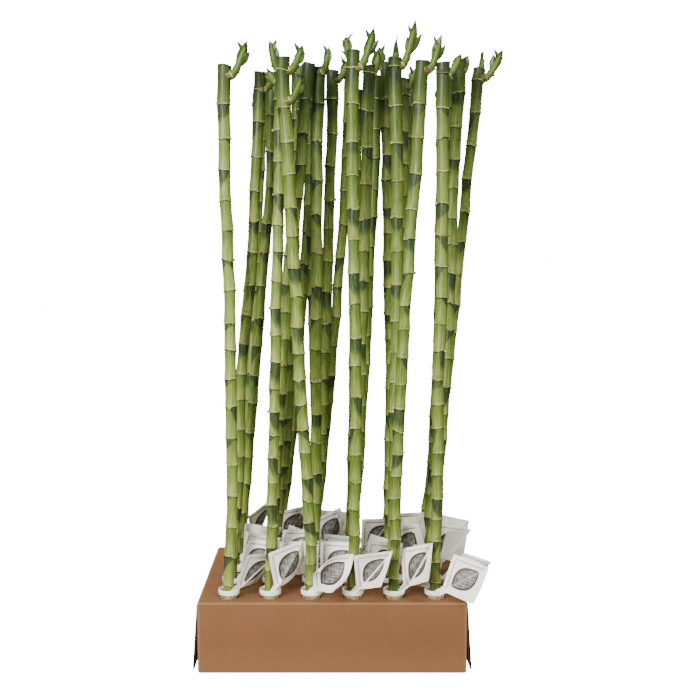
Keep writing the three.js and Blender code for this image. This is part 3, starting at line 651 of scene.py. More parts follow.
def skin_material(settings):
    """Fresh cane skin, grown and waxy: lengthwise streaks and blotches in its green, grey-green
    patches that fade downwards from a node, thin dry rings with a painted shadow line just under
    each, brown scars and a dark cut top."""
    material, tree, surface = shader("lucky_bamboo_skin")
    around, place, mark, about = [
        add(tree, "ShaderNodeAttribute", attribute_name=name).outputs["Vector"]
        for name in ("around", "place", "mark", "tone")]
    below, above, ring = add(tree, SPLIT, {0: place}).outputs
    chance = add(tree, SPLIT, {0: mark}).outputs["Z"]
    tone, from_top, height = add(tree, SPLIT, {0: about}).outputs
    # Three draws for each internode, and three for each cane.
    (wide, skew, kind), (dusky, stained, pale) = [
        add(tree, SPLIT, {0: add(tree, "ShaderNodeTexWhiteNoise", {
            "W": seed}, noise_dimensions="1D").outputs["Color"]}).outputs
        for seed in (chance, tone)]
    # The skin's coordinates are in cane radii around the cane, and drawn out along it.
    drawn_out = add(tree, MATH, {
        0: height, 1: STREAK_WIDTH / (SKIN_RADIUS * STREAK_LENGTH * MM)}, operation="MULTIPLY")
    apart = add(tree, MATH, {0: tone, 1: CANE_APART}, operation="MULTIPLY")
    shift = add(tree, JOIN, {"X": apart, "Z": drawn_out})
    along = add(tree, VECTOR, {0: around, 1: shift}, operation="ADD")
    streaks, blotches = [
        add(tree, NOISE, {"Vector": along, "Scale": SKIN_RADIUS / size, "Detail": detail})
        for size, detail in ((STREAK_WIDTH, 4.0), (BLOTCH, 2.0))]

    # A patch narrows downwards from its node, about the direction in mark, and its point drifts.
    facing = add(tree, VECTOR, {0: around, 1: mark}, operation="DOT_PRODUCT")
    aside = add(tree, VECTOR, {0: around, 1: mark}, operation="CROSS_PRODUCT")
    turned = add(tree, MATH, {
        0: add(tree, SPLIT, {0: aside}).outputs["Z"], 1: facing}, operation="ARCTAN2")
    least, more = PATCH_LENGTH
    patch_length = add(tree, MATH, {
        0: chance, 1: more * MM, 2: least * MM}, operation="MULTIPLY_ADD")
    gone = add(tree, MATH, {0: below, 1: patch_length}, operation="DIVIDE")
    lean = add(tree, MATH, {0: skew, 1: 2 * PATCH_DRIFT, 2: -PATCH_DRIFT}, operation="MULTIPLY_ADD")
    drift = add(tree, MATH, {0: lean, 1: gone}, operation="MULTIPLY")
    off = add(tree, MATH, {
        0: add(tree, MATH, {0: turned, 1: drift}, operation="SUBTRACT")}, operation="ABSOLUTE")
    ragged = add(tree, MATH, {0: streaks, 1: PATCH_RAGGED, 2: off}, operation="MULTIPLY_ADD")
    least, more = PATCH_SPREAD
    spread = add(tree, MATH, {0: wide, 1: more, 2: least}, operation="MULTIPLY_ADD")
    narrowed = add(tree, MATH, {0: gone, 1: spread}, operation="MULTIPLY")
    edge = add(tree, MATH, {0: spread, 1: narrowed}, operation="SUBTRACT")
    inside = add(tree, MATH, {0: edge, 1: ragged}, operation="SUBTRACT")
    patch = layered(tree, "#364623", (settings.patch, 1.0, (streaks, 0.38, 0.62)))

    # Which side of a ring is worn differs from node to node.
    shifted = add(tree, JOIN, {
        "Y": add(tree, MATH, {0: chance, 1: NODE_APART}, operation="MULTIPLY"),
        "Z": add(tree, MATH, {0: tone, 1: RING_APART}, operation="MULTIPLY")})
    worn = add(tree, NOISE, {
        "Vector": add(tree, VECTOR, {0: around, 1: shifted}, operation="ADD"), "Scale": WEAR})
    dry = layered(
        tree, settings.ring_green,
        (settings.ring_tan, 0.9, (kind, 0.4, 0.6)),
        (settings.ring_rust, 0.9, (kind, 0.76, 0.8)),
        ("#4E5B23", 0.75, (streaks, 0.46, 0.62)))

    green = layered(
        tree, settings.skin,
        (settings.young, 0.8, (above, 30 * MM, 3 * MM), (from_top, 20 * MM, 110 * MM)),
        ("#4C5E1B", 0.5, (below, 26 * MM, 2 * MM)),
        ("#2E4409", 0.6, (streaks, 0.46, 0.68)),
        ("#A0AA50", 0.4, (streaks, 0.5, 0.3)),
        ("#435C21", 0.5, (blotches, 0.48, 0.66)),
        ("#2F450B", 0.42, (tone, 0.1, 1.0)),
        ("#2C3E0E", 0.48, (height, 450 * MM, 800 * MM)),
        ("#878F43", 0.22, (pale, 0.6, 0.9)),
        ("#253412", 0.6, (from_top, 80 * MM, 26 * MM)),
        ("#202D0D", 0.42, (from_top, 100 * MM, 26 * MM), (dusky, -0.3, 0.4)),
        (patch, 0.9, (inside, -0.2, -0.06), (gone, 1.0, 0.45), (chance, 0.12, 0.4)),
        # Painted shadow: a thin dark line just under each ring's lip.
        ("#141B03", 0.7, (below, 2.6 * MM, 1 * MM)),
        (dry, 0.95, (ring, 0.3, 0.85), (worn, 0.36, 0.52)),
        (settings.scar, 0.85, (ring, 1.0, 1.5), (blotches, 0.3, 0.5)),
        ("#3C2F15", 0.7, (ring, 1.0, 1.5), (streaks, 0.42, 0.58)),
        (settings.scar, 0.9, (stained, 0.62, 0.66), (height, 70 * MM, 30 * MM),
         (blotches, 0.42, 0.6)),
        (settings.seal, 0.9, (from_top, 17 * MM, 12 * MM)))
    sheen = add(tree, RANGE, {
        "Value": streaks, "From Min": 0.3, "From Max": 0.7, "To Min": 0.36, "To Max": 0.54})
    bump = add(tree, "ShaderNodeBump", {"Height": streaks, "Strength": 0.3, "Distance": 0.4 * MM})
    feed(tree, surface, {
        "Base Color": green, "Roughness": sheen, "IOR": 1.45, "Specular IOR Level": 0.26,
        "Coat Weight": 0.06, "Coat Roughness": 0.32, "Normal": bump})
    return material


def leaf_material(settings):
    """Leaf bases cut back to points: fresh green, ribbed lengthwise, paler at the edges, and dried
    to a dark brown at the tips."""
    material, tree, surface = shader("cut_leaf_base")
    spot = add(tree, "ShaderNodeAttribute", attribute_name="spot").outputs["Vector"]
    across, along, chance = add(tree, SPLIT, {0: spot}).outputs
    # The blade's own coordinates: ribs are close together across it and long down it.
    ribs = add(tree, NOISE, {
        "Vector": add(tree, JOIN, {
            "X": add(tree, MATH, {0: across, 1: LEAF_WIDTH / 2 / RIB}, operation="MULTIPLY"),
            "Y": add(tree, MATH, {0: along, 1: RIB_CHANGES}, operation="MULTIPLY"),
            "Z": add(tree, MATH, {0: chance, 1: LEAF_APART}, operation="MULTIPLY")}),
        "Scale": 1.0, "Detail": 3.0})
    outer = add(tree, MATH, {0: across}, operation="ABSOLUTE")
    green = layered(
        tree, settings.leaf,
        ("#2B4114", 0.9, (ribs, 0.4, 0.65)),
        ("#778A30", 0.5, (along, 0.45, 0.0)),
        (settings.leaf_edge, 0.6, (outer, 0.7, 1.0)),
        ("#1C1A0E", 0.9, (along, 0.74, 0.95)))
    bump = add(tree, "ShaderNodeBump", {"Height": ribs, "Strength": 0.35, "Distance": 0.4 * MM})
    feed(tree, surface, {"Base Color": green, "Roughness": 0.42, "IOR": 1.45, "Normal": bump})
    return material


def card_material(settings, printed):
    """Coated card, die cut and creased: white and faintly fibrous. Its printed face has a leaf in
    a heavy outline, and a dotted rule along two edges."""
    material, tree, surface = shader("printed_card" if printed else "plain_card")
    place = add(tree, "ShaderNodeTexCoord").outputs["Object"]
    fibres, shade = [
        add(tree, NOISE, {"Vector": place, "Scale": 1 / (size * MM), "Detail": 2.0})
        for size in (CARD_FIBRE, CARD_CLOUD)]
    white = layered(tree, settings.card, ("#DAD5C6", 0.5, (shade, 0.35, 0.7)))
    if printed:
        spot = add(tree, "ShaderNodeUVMap", uv_map="card").outputs["UV"]
        u, v, _ = add(tree, SPLIT, {0: spot}).outputs
        # The leaf lies along the card's diagonal: sizes are in card sides, from the middle.
        middle = (0.5, 0.5, 0)
        turned = add(tree, "ShaderNodeVectorRotate", {
            "Vector": spot, "Center": middle, "Angle": -math.pi / 4}, rotation_type="Z_AXIS")
        centred = add(tree, VECTOR, {0: turned, 1: middle}, operation="SUBTRACT")
        along, sideways, _ = add(tree, SPLIT, {0: centred}).outputs
        across = add(tree, MATH, {0: sideways}, operation="ABSOLUTE")
        pointed = add(tree, MATH, {0: along, 1: along}, operation="MULTIPLY")
        half_length, half_width = LEAF_MOTIF
        width = add(tree, MATH, {0: across, 1: half_width}, operation="DIVIDE")
        slim = add(tree, MATH, {
            0: pointed, 1: 1 / half_length ** 2, 2: width}, operation="MULTIPLY_ADD")
        mottle = add(tree, NOISE, {"Vector": spot, "Scale": MOTTLE, "Detail": 4.0})
        slanted = add(tree, MATH, {0: along, 1: across}, operation="SUBTRACT")
        veins = add(tree, MATH, {0: slanted, 1: VEIN_PITCH}, operation="PINGPONG")
        field = layered(
            tree, settings.field,
            ("#82807A", 0.8, (mottle, 0.35, 0.65)),
            ("#B4B3AB", 0.8, (veins, 0.009, 0.0)),
            ("#5A5550", 0.9, (across, 0.014, 0.004)))
        white = layered(
            tree, white, (settings.ink, 1.0, (slim, 1.0, 0.97)), (field, 1.0, (slim, 0.78, 0.74)))
        # A sharp crease cracks the coating in a white line, which also serves as a painted
        # highlight on the ridge, and painted shade darkens the fold on one side of it.
        creased = add(tree, "ShaderNodeAttribute", attribute_name="creased").outputs["Fac"]
        white = layered(
            tree, white,
            ("#3A352E", 0.45, (sideways, 0.13, 0.03), (sideways, 0.0, 0.02),
             (creased, 0.5, 0.8)),
            (settings.card, 0.9, (across, 0.02, 0.012), (creased, 0.5, 0.8)))
        # A dotted rule near the top edge and down the left edge.
        for along_rule, from_rule, line in ((u, v, 1 - RULE_INSET), (v, u, RULE_INSET)):
            dots = add(tree, MATH, {0: along_rule, 1: DOT_PITCH}, operation="PINGPONG")
            strip, span = [
                add(tree, MATH, {0: way, 1: middle}, operation="SUBTRACT")
                for way, middle in ((from_rule, line), (along_rule, 0.5))]
            beside, beyond = [
                add(tree, MATH, {0: distance}, operation="ABSOLUTE") for distance in (strip, span)]
            white = layered(tree, white, (
                settings.rule, 0.85, (dots, 0.005, 0.009), (beside, RULE_WIDTH, RULE_WIDTH - 0.008),
                (beyond, RULE_LENGTH, RULE_LENGTH - 0.02)))
    bump = add(tree, "ShaderNodeBump", {"Height": fibres, "Strength": 0.1, "Distance": 0.2 * MM})
    feed(tree, surface, {"Base Color": white, "Roughness": 0.48, "IOR": 1.5, "Normal": bump})
    return material


# ---- Carton

def rounded_loop(half_depth, low, high, radius, steps=5):
    """A closed loop in Y and Z with rounded corners."""
    corners = (
        (half_depth, low, -90), (half_depth, high, 0),
        (-half_depth, high, 90), (-half_depth, low, 180))
    loop = []
    for y, z, start in corners:
        middle_y = y - math.copysign(radius, y)
        middle_z = z + radius if z == low else z - radius
        for i in range(steps + 1):
            angle = math.radians(start + 90 * i / steps)
            loop.append((middle_y + radius * math.cos(angle), middle_z + radius * math.sin(angle)))
    return loop


def plate(shape, corners, low_y, high_y):
    """Adds a slab with an outline in X and Z to a bmesh, from one Y to another."""
    front = [shape.verts.new((x, low_y, z)) for x, z in corners]
    back = [shape.verts.new((x, high_y, z)) for x, z in corners]
    shape.faces.new(front)
    shape.faces.new(back[::-1])
    count = len(corners)
    for i in range(count):
        j = (i + 1) % count
        shape.faces.new((front[j], front[i], back[i], back[j]))


def carton_shape(settings):
    """The folded sheet as a sleeve with softened ends, before its holes are cut."""
    half_width, half_depth = TRAY_WIDTH / 2 * MM, TRAY_DEPTH / 2 * MM
    height, board = TRAY_HEIGHT * MM, settings.board
    shape = bmesh.new()

    def section(x, inset, lift):
        """A ring of points across the sleeve, inside the board at its ends."""
        loop = rounded_loop(half_depth - inset, lift, height - lift, settings.bend)
        return [shape.verts.new((x, y, z)) for y, z in loop]

    outer = [section(-half_width + d * MM, i * MM, l * MM) for d, i, l in END_SOFTENING]
    outer += [section(half_width - d * MM, i * MM, l * MM) for d, i, l in reversed(END_SOFTENING)]
    clear = board + HOLLOW_PLAY * MM
    hollow = rounded_loop(half_depth - board, clear, height - clear, HOLLOW_BEND * MM)
    inner = [[shape.verts.new((x, y, z)) for y, z in hollow] for x in (-half_width, half_width)]
    count = len(hollow)
    for i in range(count):
        j = (i + 1) % count
        for left, right in zip(outer, outer[1:]):
            shape.faces.new((left[i], right[i], right[j], left[j]))
        shape.faces.new((inner[0][j], inner[1][j], inner[1][i], inner[0][i]))
        shape.faces.new((outer[0][j], inner[0][j], inner[0][i], outer[0][i])).material_index = 1
        shape.faces.new((outer[-1][i], inner[1][i], inner[1][j], outer[-1][j])).material_index = 1
    return turned_outwards(shape, bpy.data.meshes.new("carton_sleeve"))


def flap_shape(settings):
    """The corner tabs behind the ends, and the end flaps that stand out at their feet."""
    half_width, half_depth = TRAY_WIDTH / 2 * MM, TRAY_DEPTH / 2 * MM
    height, board = TRAY_HEIGHT * MM, settings.board
    shape = bmesh.new()
    tab_top = height - board - TAB_HEADROOM * MM
    for side in (-1, 1):
        outer = side * (half_width - TAB_INSET * MM)
        inner = outer - side * board
        corners = [(outer, board), (inner, board), (inner, tab_top), (outer, tab_top)]
        plate(shape, corners, -half_depth + board, TAB_LENGTH * MM - half_depth)
        plate(shape, corners, half_depth - TAB_LENGTH * MM, half_depth - board)
        # The flap turns down over the edge of the top panel and flares out to its foot.
        flap = [(side * x * MM, z * MM) for x, z in FLAP_OUTLINE]
        plate(shape, flap, -half_depth + board, half_depth - board)
    mesh = turned_outwards(shape, bpy.data.meshes.new("carton_flaps"))
    # The front and back cut edges of the flaps and tabs take the cut edge material, with its
    # painted shade.
    for face in mesh.polygons:
        face.material_index = int(abs(face.normal.y) > 0.5)
    return mesh


class BAMBOO_OT_carton(bpy.types.Operator):
    """Makes the folded carton tray"""
    bl_idname = "bamboo.carton"
    bl_label = "Carton tray"

    def execute(self, context):
        settings = context.scene.bamboo_carton
        board = board_material(settings)
        edge = board_material(settings, cut_edge=True)
        low, high = (TRAY_HEIGHT - CUT_REACH) * MM, (TRAY_HEIGHT + CUT_REACH) * MM
        cutter = lathe(
            "hole_cutter", ((0, low), (settings.hole, low), (settings.hole, high), (0, high)), 40)
        on_grid(cutter, edge)
        # The walls of the cut holes take the second material of the tray, the cut edge with its
        # painted shade.
        cutter.data.materials.clear()
        finish_with(cutter, board, edge)
        for face in cutter.data.polygons:
            face.material_index = 1
        tray = object_from("carton_tray", carton_shape(settings))
        flaps = object_from("carton_flaps", flap_shape(settings))
        cut = tray.modifiers.new("Holes", "BOOLEAN")
        cut.operation = "DIFFERENCE"
        cut.solver = "EXACT"
        cut.object = cutter
        bevel = flaps.modifiers.new("Soft edges", "BEVEL")
        bevel.width = FLAP_SOFTENING * MM
        bevel.segments = 2
        for piece in (tray, flaps):
            finish_with(piece, board, edge)
            baked(piece)
            smooth_to(piece.data, SHARP_BOARD)
            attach(piece, "root")
            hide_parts("carton")
        bpy.data.objects.remove(cutter)
        return {"FINISHED"}


# ---- Vials

class BAMBOO_OT_vials(bpy.types.Operator):
    """Makes the vials, the water in them and the collars on their necks"""
    bl_idname = "bamboo.vials"
    bl_label = "Vials"

    def execute(self, context):
        settings = context.scene.bamboo_vials
        radius, wall = settings.radius, settings.wall
        foot, neck, bottom = VIAL_FOOT * MM, VIAL_NECK_TOP * MM, VIAL_FOOT * MM + 2 * wall
        rounding, gap = FOOT_ROUNDING * MM, WATER_GAP * MM
        vials = lathe("vials", (
            (0, foot), (radius - rounding, foot), (radius, foot + rounding), (radius, neck),
            (radius - wall, neck), (radius - wall, bottom), (0, bottom)), 32)
        on_grid(vials, clear_material("clear_polystyrene", settings.plastic, 1.59, 0.15, 0.85))
        # The water leaves the middle of the vial to the cane that stands in it.
        hole, side = settings.collar_hole - WATER_INSET * MM, radius - wall - gap
        low, high = bottom + gap, bottom + gap + WATER_SKIN * MM
        water = lathe("vial_water", (
            (0, low), (side, low), (side, settings.water_top), (hole, settings.water_top),
            (hole, high), (0, high)), 32)
        on_grid(water, clear_material("still_water", settings.water, 1.333, 0.0))
        outer, hole, under = settings.collar_radius, settings.collar_hole, neck + COLLAR_GAP * MM
        profile = [(hole, under)]
        for outline, level, radius, way in (
                (COLLAR_UNDER, under, outer, -MM), (COLLAR_RIM, COLLAR_TOP * MM, outer, -MM),
                (COLLAR_RECESS, COLLAR_FLOOR * MM, outer, -MM),
                (COLLAR_LIP, COLLAR_FLOOR * MM, hole, MM)):
            profile += [(radius + aside * way, level + rise * MM) for aside, rise in outline]
        collars = lathe("vial_collars", profile, 48)
        on_grid(collars, collar_material(settings))
        for piece in (vials, water, collars):
            smooth_to(piece.data, SHARP_PLASTIC)
            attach(piece, "root")
            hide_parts(*all_vial_nodes())
        return {"FINISHED"}


# ---- Canes

def cane_middle(cane, height):
    """The middle of a cane at a height above the board: straight in its vial, then bent."""
    (column, row), rise, bend, lean = cane[:4]
    bends = (bend[0], 0) + bend + (2 * bend[-1] - bend[-2],)
    place = min(max(height, 0) / BEND_STEP, len(bend))
    piece = min(int(place), len(bend) - 1)
    t = place - piece
    before, start, end, after = bends[piece:piece + 4]
    sideways = start + 0.5 * t * (end - before + t * (
        2 * before - 5 * start + 4 * end - after + t * (3 * (start - end) + after - before)))
    back = lean * (max(height, 0) / rise) ** 2
    return Vector((column_x(column) + sideways, row_y(row) + back, TRAY_HEIGHT + height))


def node_heights(cane):
    """Node heights above the board, from the foot up: the internodes shorten towards the foot."""
    (column, row), rise = cane[:2]
    first, upper, lower = cane[5]
    draw = draw_from(column * 1000 + row * 10)
    heights = []
    height = rise - first
    while height > COLLAR_TOP - TRAY_HEIGHT:
        heights.append(height)
        internode = upper + (lower - upper) * (1 - height / rise)
        height -= internode * (1 + NODE_SPREAD * (2 * draw() - 1))
    return heights[::-1]


class Course:
    """Points along the paths of a cane and its shoots, with what their skin needs to know."""

    def __init__(self):
        self.points, self.edges, self.faces, self.last = [], [], [], None
        self.values = {
            name: [] for name in ("girth", "place", "mark", "tone", "wavy", "spot", "is_path")}

    def point(self, position, girth, place, mark, tone, wavy, spot=(0, 0, 0), is_path=True):
        """Adds a point. Its position and girth are in millimetres."""
        self.points.append(tuple(position * MM))
        for name, value in zip(self.values, (girth * MM, place, mark, tone, wavy, spot, is_path)):
            self.values[name].append(value)
        return len(self.points) - 1

    def step(self, *values):
        """Adds the next point of a path."""
        index = self.point(*values)
        if self.last is not None:
            self.edges.append((self.last, index))
        self.last = index

    def end_path(self):
        self.last = None

    def mesh(self, name):
        mesh = mesh_from(name, self.points, self.faces, self.edges)
        kinds = {"girth": "FLOAT", "wavy": "FLOAT", "is_path": "BOOLEAN"}
        for key, values in self.values.items():
            layer = mesh.attributes.new(key, kinds.get(key, "FLOAT_VECTOR"), "POINT")
            if key in kinds:
                layer.data.foreach_set("value", values)
            else:
                layer.data.foreach_set("vector", [part for value in values for part in value])
        return mesh


def girth_at(share):
    """A cane's girth against its radius, at a share of its height above the board."""
    share = min(max(share, 0), 1)
    for (low, start), (high, end) in zip(CANE_GIRTH, CANE_GIRTH[1:]):
        if share <= high:
            return start + (end - start) * (share - low) / (high - low)


def cane_course(course, cane, settings):
    """Adds the stem's path, with its rings, patches and tone."""
    (column, row), rise, _, _, radius = cane[:5]
    draw = draw_from(column * 77 + row * 1301)
    tone = draw()
    turn = draw() * 2 * math.pi
    ends = [CANE_FOOT - TRAY_HEIGHT] + node_heights(cane) + [rise]
    ring = settings.ring / MM
    raw = 0 if (column, row) in SEALED else RAW_CUT
    wander = draw_from(column * 59 + row * 907)
    kinks = [KINK * Vector((wander() - 0.5, wander() - 0.5, 0)) * (height > 0) for height in ends]

    def station(height, thick, below, above, ringed=0):
        kink = kinks[piece].lerp(kinks[piece + 1], (height - low) / span)
        course.step(
            cane_middle(cane, height) + kink, thick * girth_at(height / rise),
            (below * MM, above * MM, ringed), mark,
            (tone, (rise - height + raw) * MM, height * MM), 1)

    for piece, (low, high) in enumerate(zip(ends, ends[1:])):
        turn += math.pi + (draw() - 0.5) * PATCH_TURN
        mark = (math.cos(turn), math.sin(turn), draw())
        span = high - low
        is_top = piece == len(ends) - 2
        if piece == 0:
            station(low, radius, span, FAR)
        for share, flare in SKIN_STATIONS:
            height = low + RING_REACH + (span - 2 * RING_REACH) * share
            # The foot of the cane has no node to flare from.
            thick = radius + flare * (piece > 0 or share > 0.5)
            station(height, thick, FAR if is_top else high - height, height - low)
        if is_top:
            for down, inwards in CUT_ROUNDING:
                station(high - down, radius - inwards, FAR, span)
            continue
        for above, swell, ringed in RING_STATIONS:
            below = max(-above, RING_BELOW) if above < RING_TOP else FAR
            from_node = span if above < 0 else above
            station(high + above, radius + swell * ring, below, from_node, ringed)
    course.end_path()
    return tone


def blade(course, root, heading, side, size, chance, curl=LEAF_CURL):
    """Adds a cut leaf base: a blade folded along its middle, widest low down, that curls away
    from the stalk as it narrows to a point."""
    long, wide, thick = size
    normal = heading.cross(side).normalized()
    nothing = (0, 0, 0)
    top, bottom = layers = [], []
    for layer, rows in enumerate(layers):
        for along, share in LEAF_PROFILE:
            width = wide / 2 * share
            line = []
            for t in LEAF_STEPS:
                spot = root + heading * (long * along) + side * (width * t * math.cos(LEAF_FOLD))
                spot += normal * (abs(t) * width * math.sin(LEAF_FOLD) - curl * along ** 2 * long)
                spot -= normal * (
                    layer * thick * (1 - LEAF_THINNING * abs(t)) * (1 - LEAF_THINNING * along))
                line.append(course.point(
                    spot, 0, nothing, nothing, nothing, 0, (t, along, chance), False))
            rows.append(line)
    last = len(LEAF_STEPS) - 1
    for low, high, under, over in zip(top, top[1:], bottom, bottom[1:]):
        for j in range(last):
            course.faces.append((low[j], low[j + 1], high[j + 1], high[j]))
            course.faces.append((under[j], over[j], over[j + 1], under[j + 1]))
        course.faces.append((low[0], high[0], over[0], under[0]))
        course.faces.append((low[last], under[last], over[last], high[last]))
    for upper, lower in ((top[0], bottom[0]), (top[-1], bottom[-1])):
        for j in range(last):
            course.faces.append((upper[j], lower[j], lower[j + 1], upper[j + 1]))


def between(points, share):
    """The place on the smooth curve through some points, and the curve's direction there."""
    piece = min(int(share), len(points) - 2)
    t = share - piece
    before, start = points[max(piece - 1, 0)], points[piece]
    end, after = points[piece + 1], points[min(piece + 2, len(points) - 1)]
    bend, twist = 2 * before - 5 * start + 4 * end - after, 3 * (start - end) + after - before
    place = start + 0.5 * ((end - before) * t + bend * t * t + twist * t ** 3)
    return place, (0.5 * (end - before) + bend * t + 1.5 * twist * t * t).normalized()


def shoot_course(course, cane, shoot, tone, number):
    """Adds a side shoot: a stalk that swells where it leaves the cane and turns upwards, with
    leaf bases cut back to points along it and a fan of longer ones at its tip."""
    (column, row), rise, _, _, radius = cane[:5]
    below, direction, reach, lift, spikes = shoot
    draw = draw_from(column * 313 + row * 97 + number * 51)
    angle = math.radians(direction)
    outward, up = Vector((math.cos(angle), math.sin(angle), 0)), Vector((0, 0, 1))
    sideways = up.cross(outward)
    start = cane_middle(cane, rise - below)
    points = [start] + [
        start + outward * (radius * SHOOT_ROOT + reach * out) + up * (lift * share)
        for out, share in SHOOT_COURSE[1:]]
    dark = tone * (1 - SHOOT_TONE) + SHOOT_TONE
    for share, swell in SHOOT_STATIONS:
        spot, _ = between(points, share)
        scar = min(SCAR_MOST, 2 * SCAR_MOST * max(0, 1 - SCAR_NARROWNESS * abs(share - SCAR_PLACE)))
        course.step(
            spot, SHOOT_RADIUS * swell, (FAR * MM, SHOOT_ABOVE * MM, scar), (1, 0, 0),
            (dark, FAR * MM, spot.z * MM), 0)
    course.end_path()

    def facing(heading, angle):
        """A way across a blade, turned about its heading from the plane the shoot bends in."""
        flat = sideways.cross(heading).normalized()
        return (flat * math.cos(angle) + sideways * math.sin(angle)).normalized()

    def either(most):
        """A draw to either side of nothing."""
        return (draw() - 0.5) * most

    # The fan at the tip: its first blade ends in the tip, the others turn away on either side.
    root, _ = between(points, FAN_ROOT)
    heading = (points[3] - root).normalized()
    span = (points[3] - root).length
    side = 1 if draw() > FAN_MIRRORED else -1
    for turn, share, wide in FAN:
        way = (heading + facing(heading, 0) * math.tan(turn * side)).normalized()
        blade(
            course, root, way, facing(way, either(FAN_TWIST)), (span * share, wide, FAN_THICKNESS),
            draw(), LEAF_CURL * share)
    # Longer leaf bases on the shoulder and the elbow, then short ones up the stalk.
    for spike, (out_turn, side_turn) in zip(range(spikes - 1), SPIKE_TURNS):
        lean = (up + outward * out_turn + sideways * side_turn).normalized()
        blade(
            course, points[2 - spike] - lean * SPIKE_DEPTH, lean, facing(lean, either(SPIKE_TWIST)),
            SPIKE_SIZE, draw())
    least, more = TOOTH_LEAN
    for share, side in TEETH:
        spot, along = between(points, share + either(TOOTH_PLAY))
        away = facing(along, either(SPIKE_TWIST)) * side
        lean = (along + away * (least + more * draw())).normalized()
        across = facing(lean, either(TOOTH_TWIST))
        long, wide, thick = TOOTH_SIZE
        blade(
            course, spot - lean * TOOTH_DEPTH, lean, across,
            (long + TOOTH_GROWTH * draw(), wide, thick), draw(), TOOTH_CURL)


def cane_tree():
    """Skins the paths of a cane and its shoots, with wavy rings, and keeps its leaf blades."""
    tree, given, out = new_tree("Cane on its path", {
        "Geometry": "Geometry", "Sides": "Int", "Ring tilt": "Float", "Unevenness": "Float",
        "Bud": "Float", "Bare share": "Float", "Skin": "Material", "Leaf": "Material"})
    is_path, girth, wavy, around, place, mark = [
        add(tree, "GeometryNodeInputNamedAttribute", {"Name": name}, data_type=kind)
        for name, kind in (
            ("is_path", "BOOLEAN"), ("girth", "FLOAT"), ("wavy", "FLOAT"),
            ("around", "FLOAT_VECTOR"), ("place", "FLOAT_VECTOR"), ("mark", "FLOAT_VECTOR"))]
    position = add(tree, "GeometryNodeInputPosition")
    split = add(tree, "GeometryNodeSeparateGeometry", {
        "Geometry": given["Geometry"], "Selection": is_path}, domain="POINT")
    curve = add(tree, "GeometryNodeMeshToCurve", {"Mesh": split})
    circle = add(tree, "GeometryNodeCurvePrimitiveCircle", {
        "Resolution": given["Sides"], "Radius": 1.0}, mode="RADIUS")
    ring = add(tree, "GeometryNodeStoreNamedAttribute", {
        "Geometry": circle, "Name": "around", "Value": position},
        data_type="FLOAT_VECTOR", domain="POINT")
    skin = add(tree, "GeometryNodeCurveToMesh", {
        "Curve": curve, "Profile Curve": ring, "Scale": girth, "Fill Caps": True})
    # A slow noise, drawn out around the cane, lifts and lowers its rings and swells its skin.
    stretched = add(tree, VECTOR, {0: position, 1: WAVE_STRETCH}, operation="MULTIPLY")
    spot = add(tree, VECTOR, {0: around, 1: stretched}, operation="ADD")
    waves = add(tree, NOISE, {"Vector": spot, "Scale": WAVE_SCALE, "Detail": 0.5})
    centred = add(tree, VECTOR, {
        0: waves.outputs["Color"], 1: (0.5, 0.5, 0.5)}, operation="SUBTRACT")
    wave, swell, _ = add(tree, SPLIT, {0: centred}).outputs
    tilt = add(tree, MATH, {0: wave, 1: given["Ring tilt"]}, operation="MULTIPLY")
    lift = add(tree, JOIN, {"Z": add(tree, MATH, {0: tilt, 1: wavy}, operation="MULTIPLY")})
    swelling = add(tree, MATH, {0: swell, 1: given["Unevenness"]}, operation="MULTIPLY")
    outwards = add(tree, VECTOR, {
        0: add(tree, "GeometryNodeInputNormal"), "Scale": swelling}, operation="SCALE")
    uneven = add(tree, "GeometryNodeSetPosition", {
        "Geometry": skin, "Offset": add(tree, VECTOR, {0: lift, 1: outwards}, operation="ADD")})
    skinned = add(tree, "GeometryNodeSetMaterial", {"Geometry": uneven, "Material": given["Skin"]})
    leaved = add(tree, "GeometryNodeSetMaterial", {
        "Geometry": split.outputs["Inverted"], "Material": given["Leaf"]})
    # A small dry bud on some of the rings, on the side that its mark points to.
    side = add(tree, SPLIT, {0: mark}).outputs
    ringed = add(tree, SPLIT, {0: place}).outputs["Z"]
    budding = add(tree, "FunctionNodeBooleanMath", {
        0: add(tree, "FunctionNodeCompare", {0: ringed, 1: 0.99}, operation="GREATER_EQUAL"),
        1: add(tree, "FunctionNodeCompare", {
            0: side["Z"], 1: given["Bare share"]}, operation="GREATER_THAN")})
    seats = add(tree, "GeometryNodeMeshToPoints", {"Mesh": split, "Selection": budding})
    towards = add(tree, JOIN, {"X": side["X"], "Y": side["Y"]})
    reach = add(tree, VECTOR, {0: towards, "Scale": girth}, operation="SCALE")
    moved = add(tree, "GeometryNodeSetPosition", {"Geometry": seats, "Offset": reach})
    ball = add(tree, "GeometryNodeMeshUVSphere", {
        "Segments": 10, "Rings": 6, "Radius": given["Bud"]})
    size = add(tree, "FunctionNodeRandomValue", {
        2: BUD_SIZES[0], 3: BUD_SIZES[1], "Seed": 4}, data_type="FLOAT")
    buds = add(tree, "GeometryNodeInstanceOnPoints", {
        "Points": moved, "Instance": ball, "Scale": size})
    budded = add(tree, "GeometryNodeSetMaterial", {
        "Geometry": add(tree, "GeometryNodeRealizeInstances", {"Geometry": buds}),
        "Material": given["Skin"]})
    both = add(tree, "GeometryNodeJoinGeometry")
    for part in (leaved, budded, skinned):
        feed(tree, both, {"Geometry": part})
    feed(tree, out, {"Geometry": add(tree, "GeometryNodeRealizeInstances", {"Geometry": both})})
    return tree


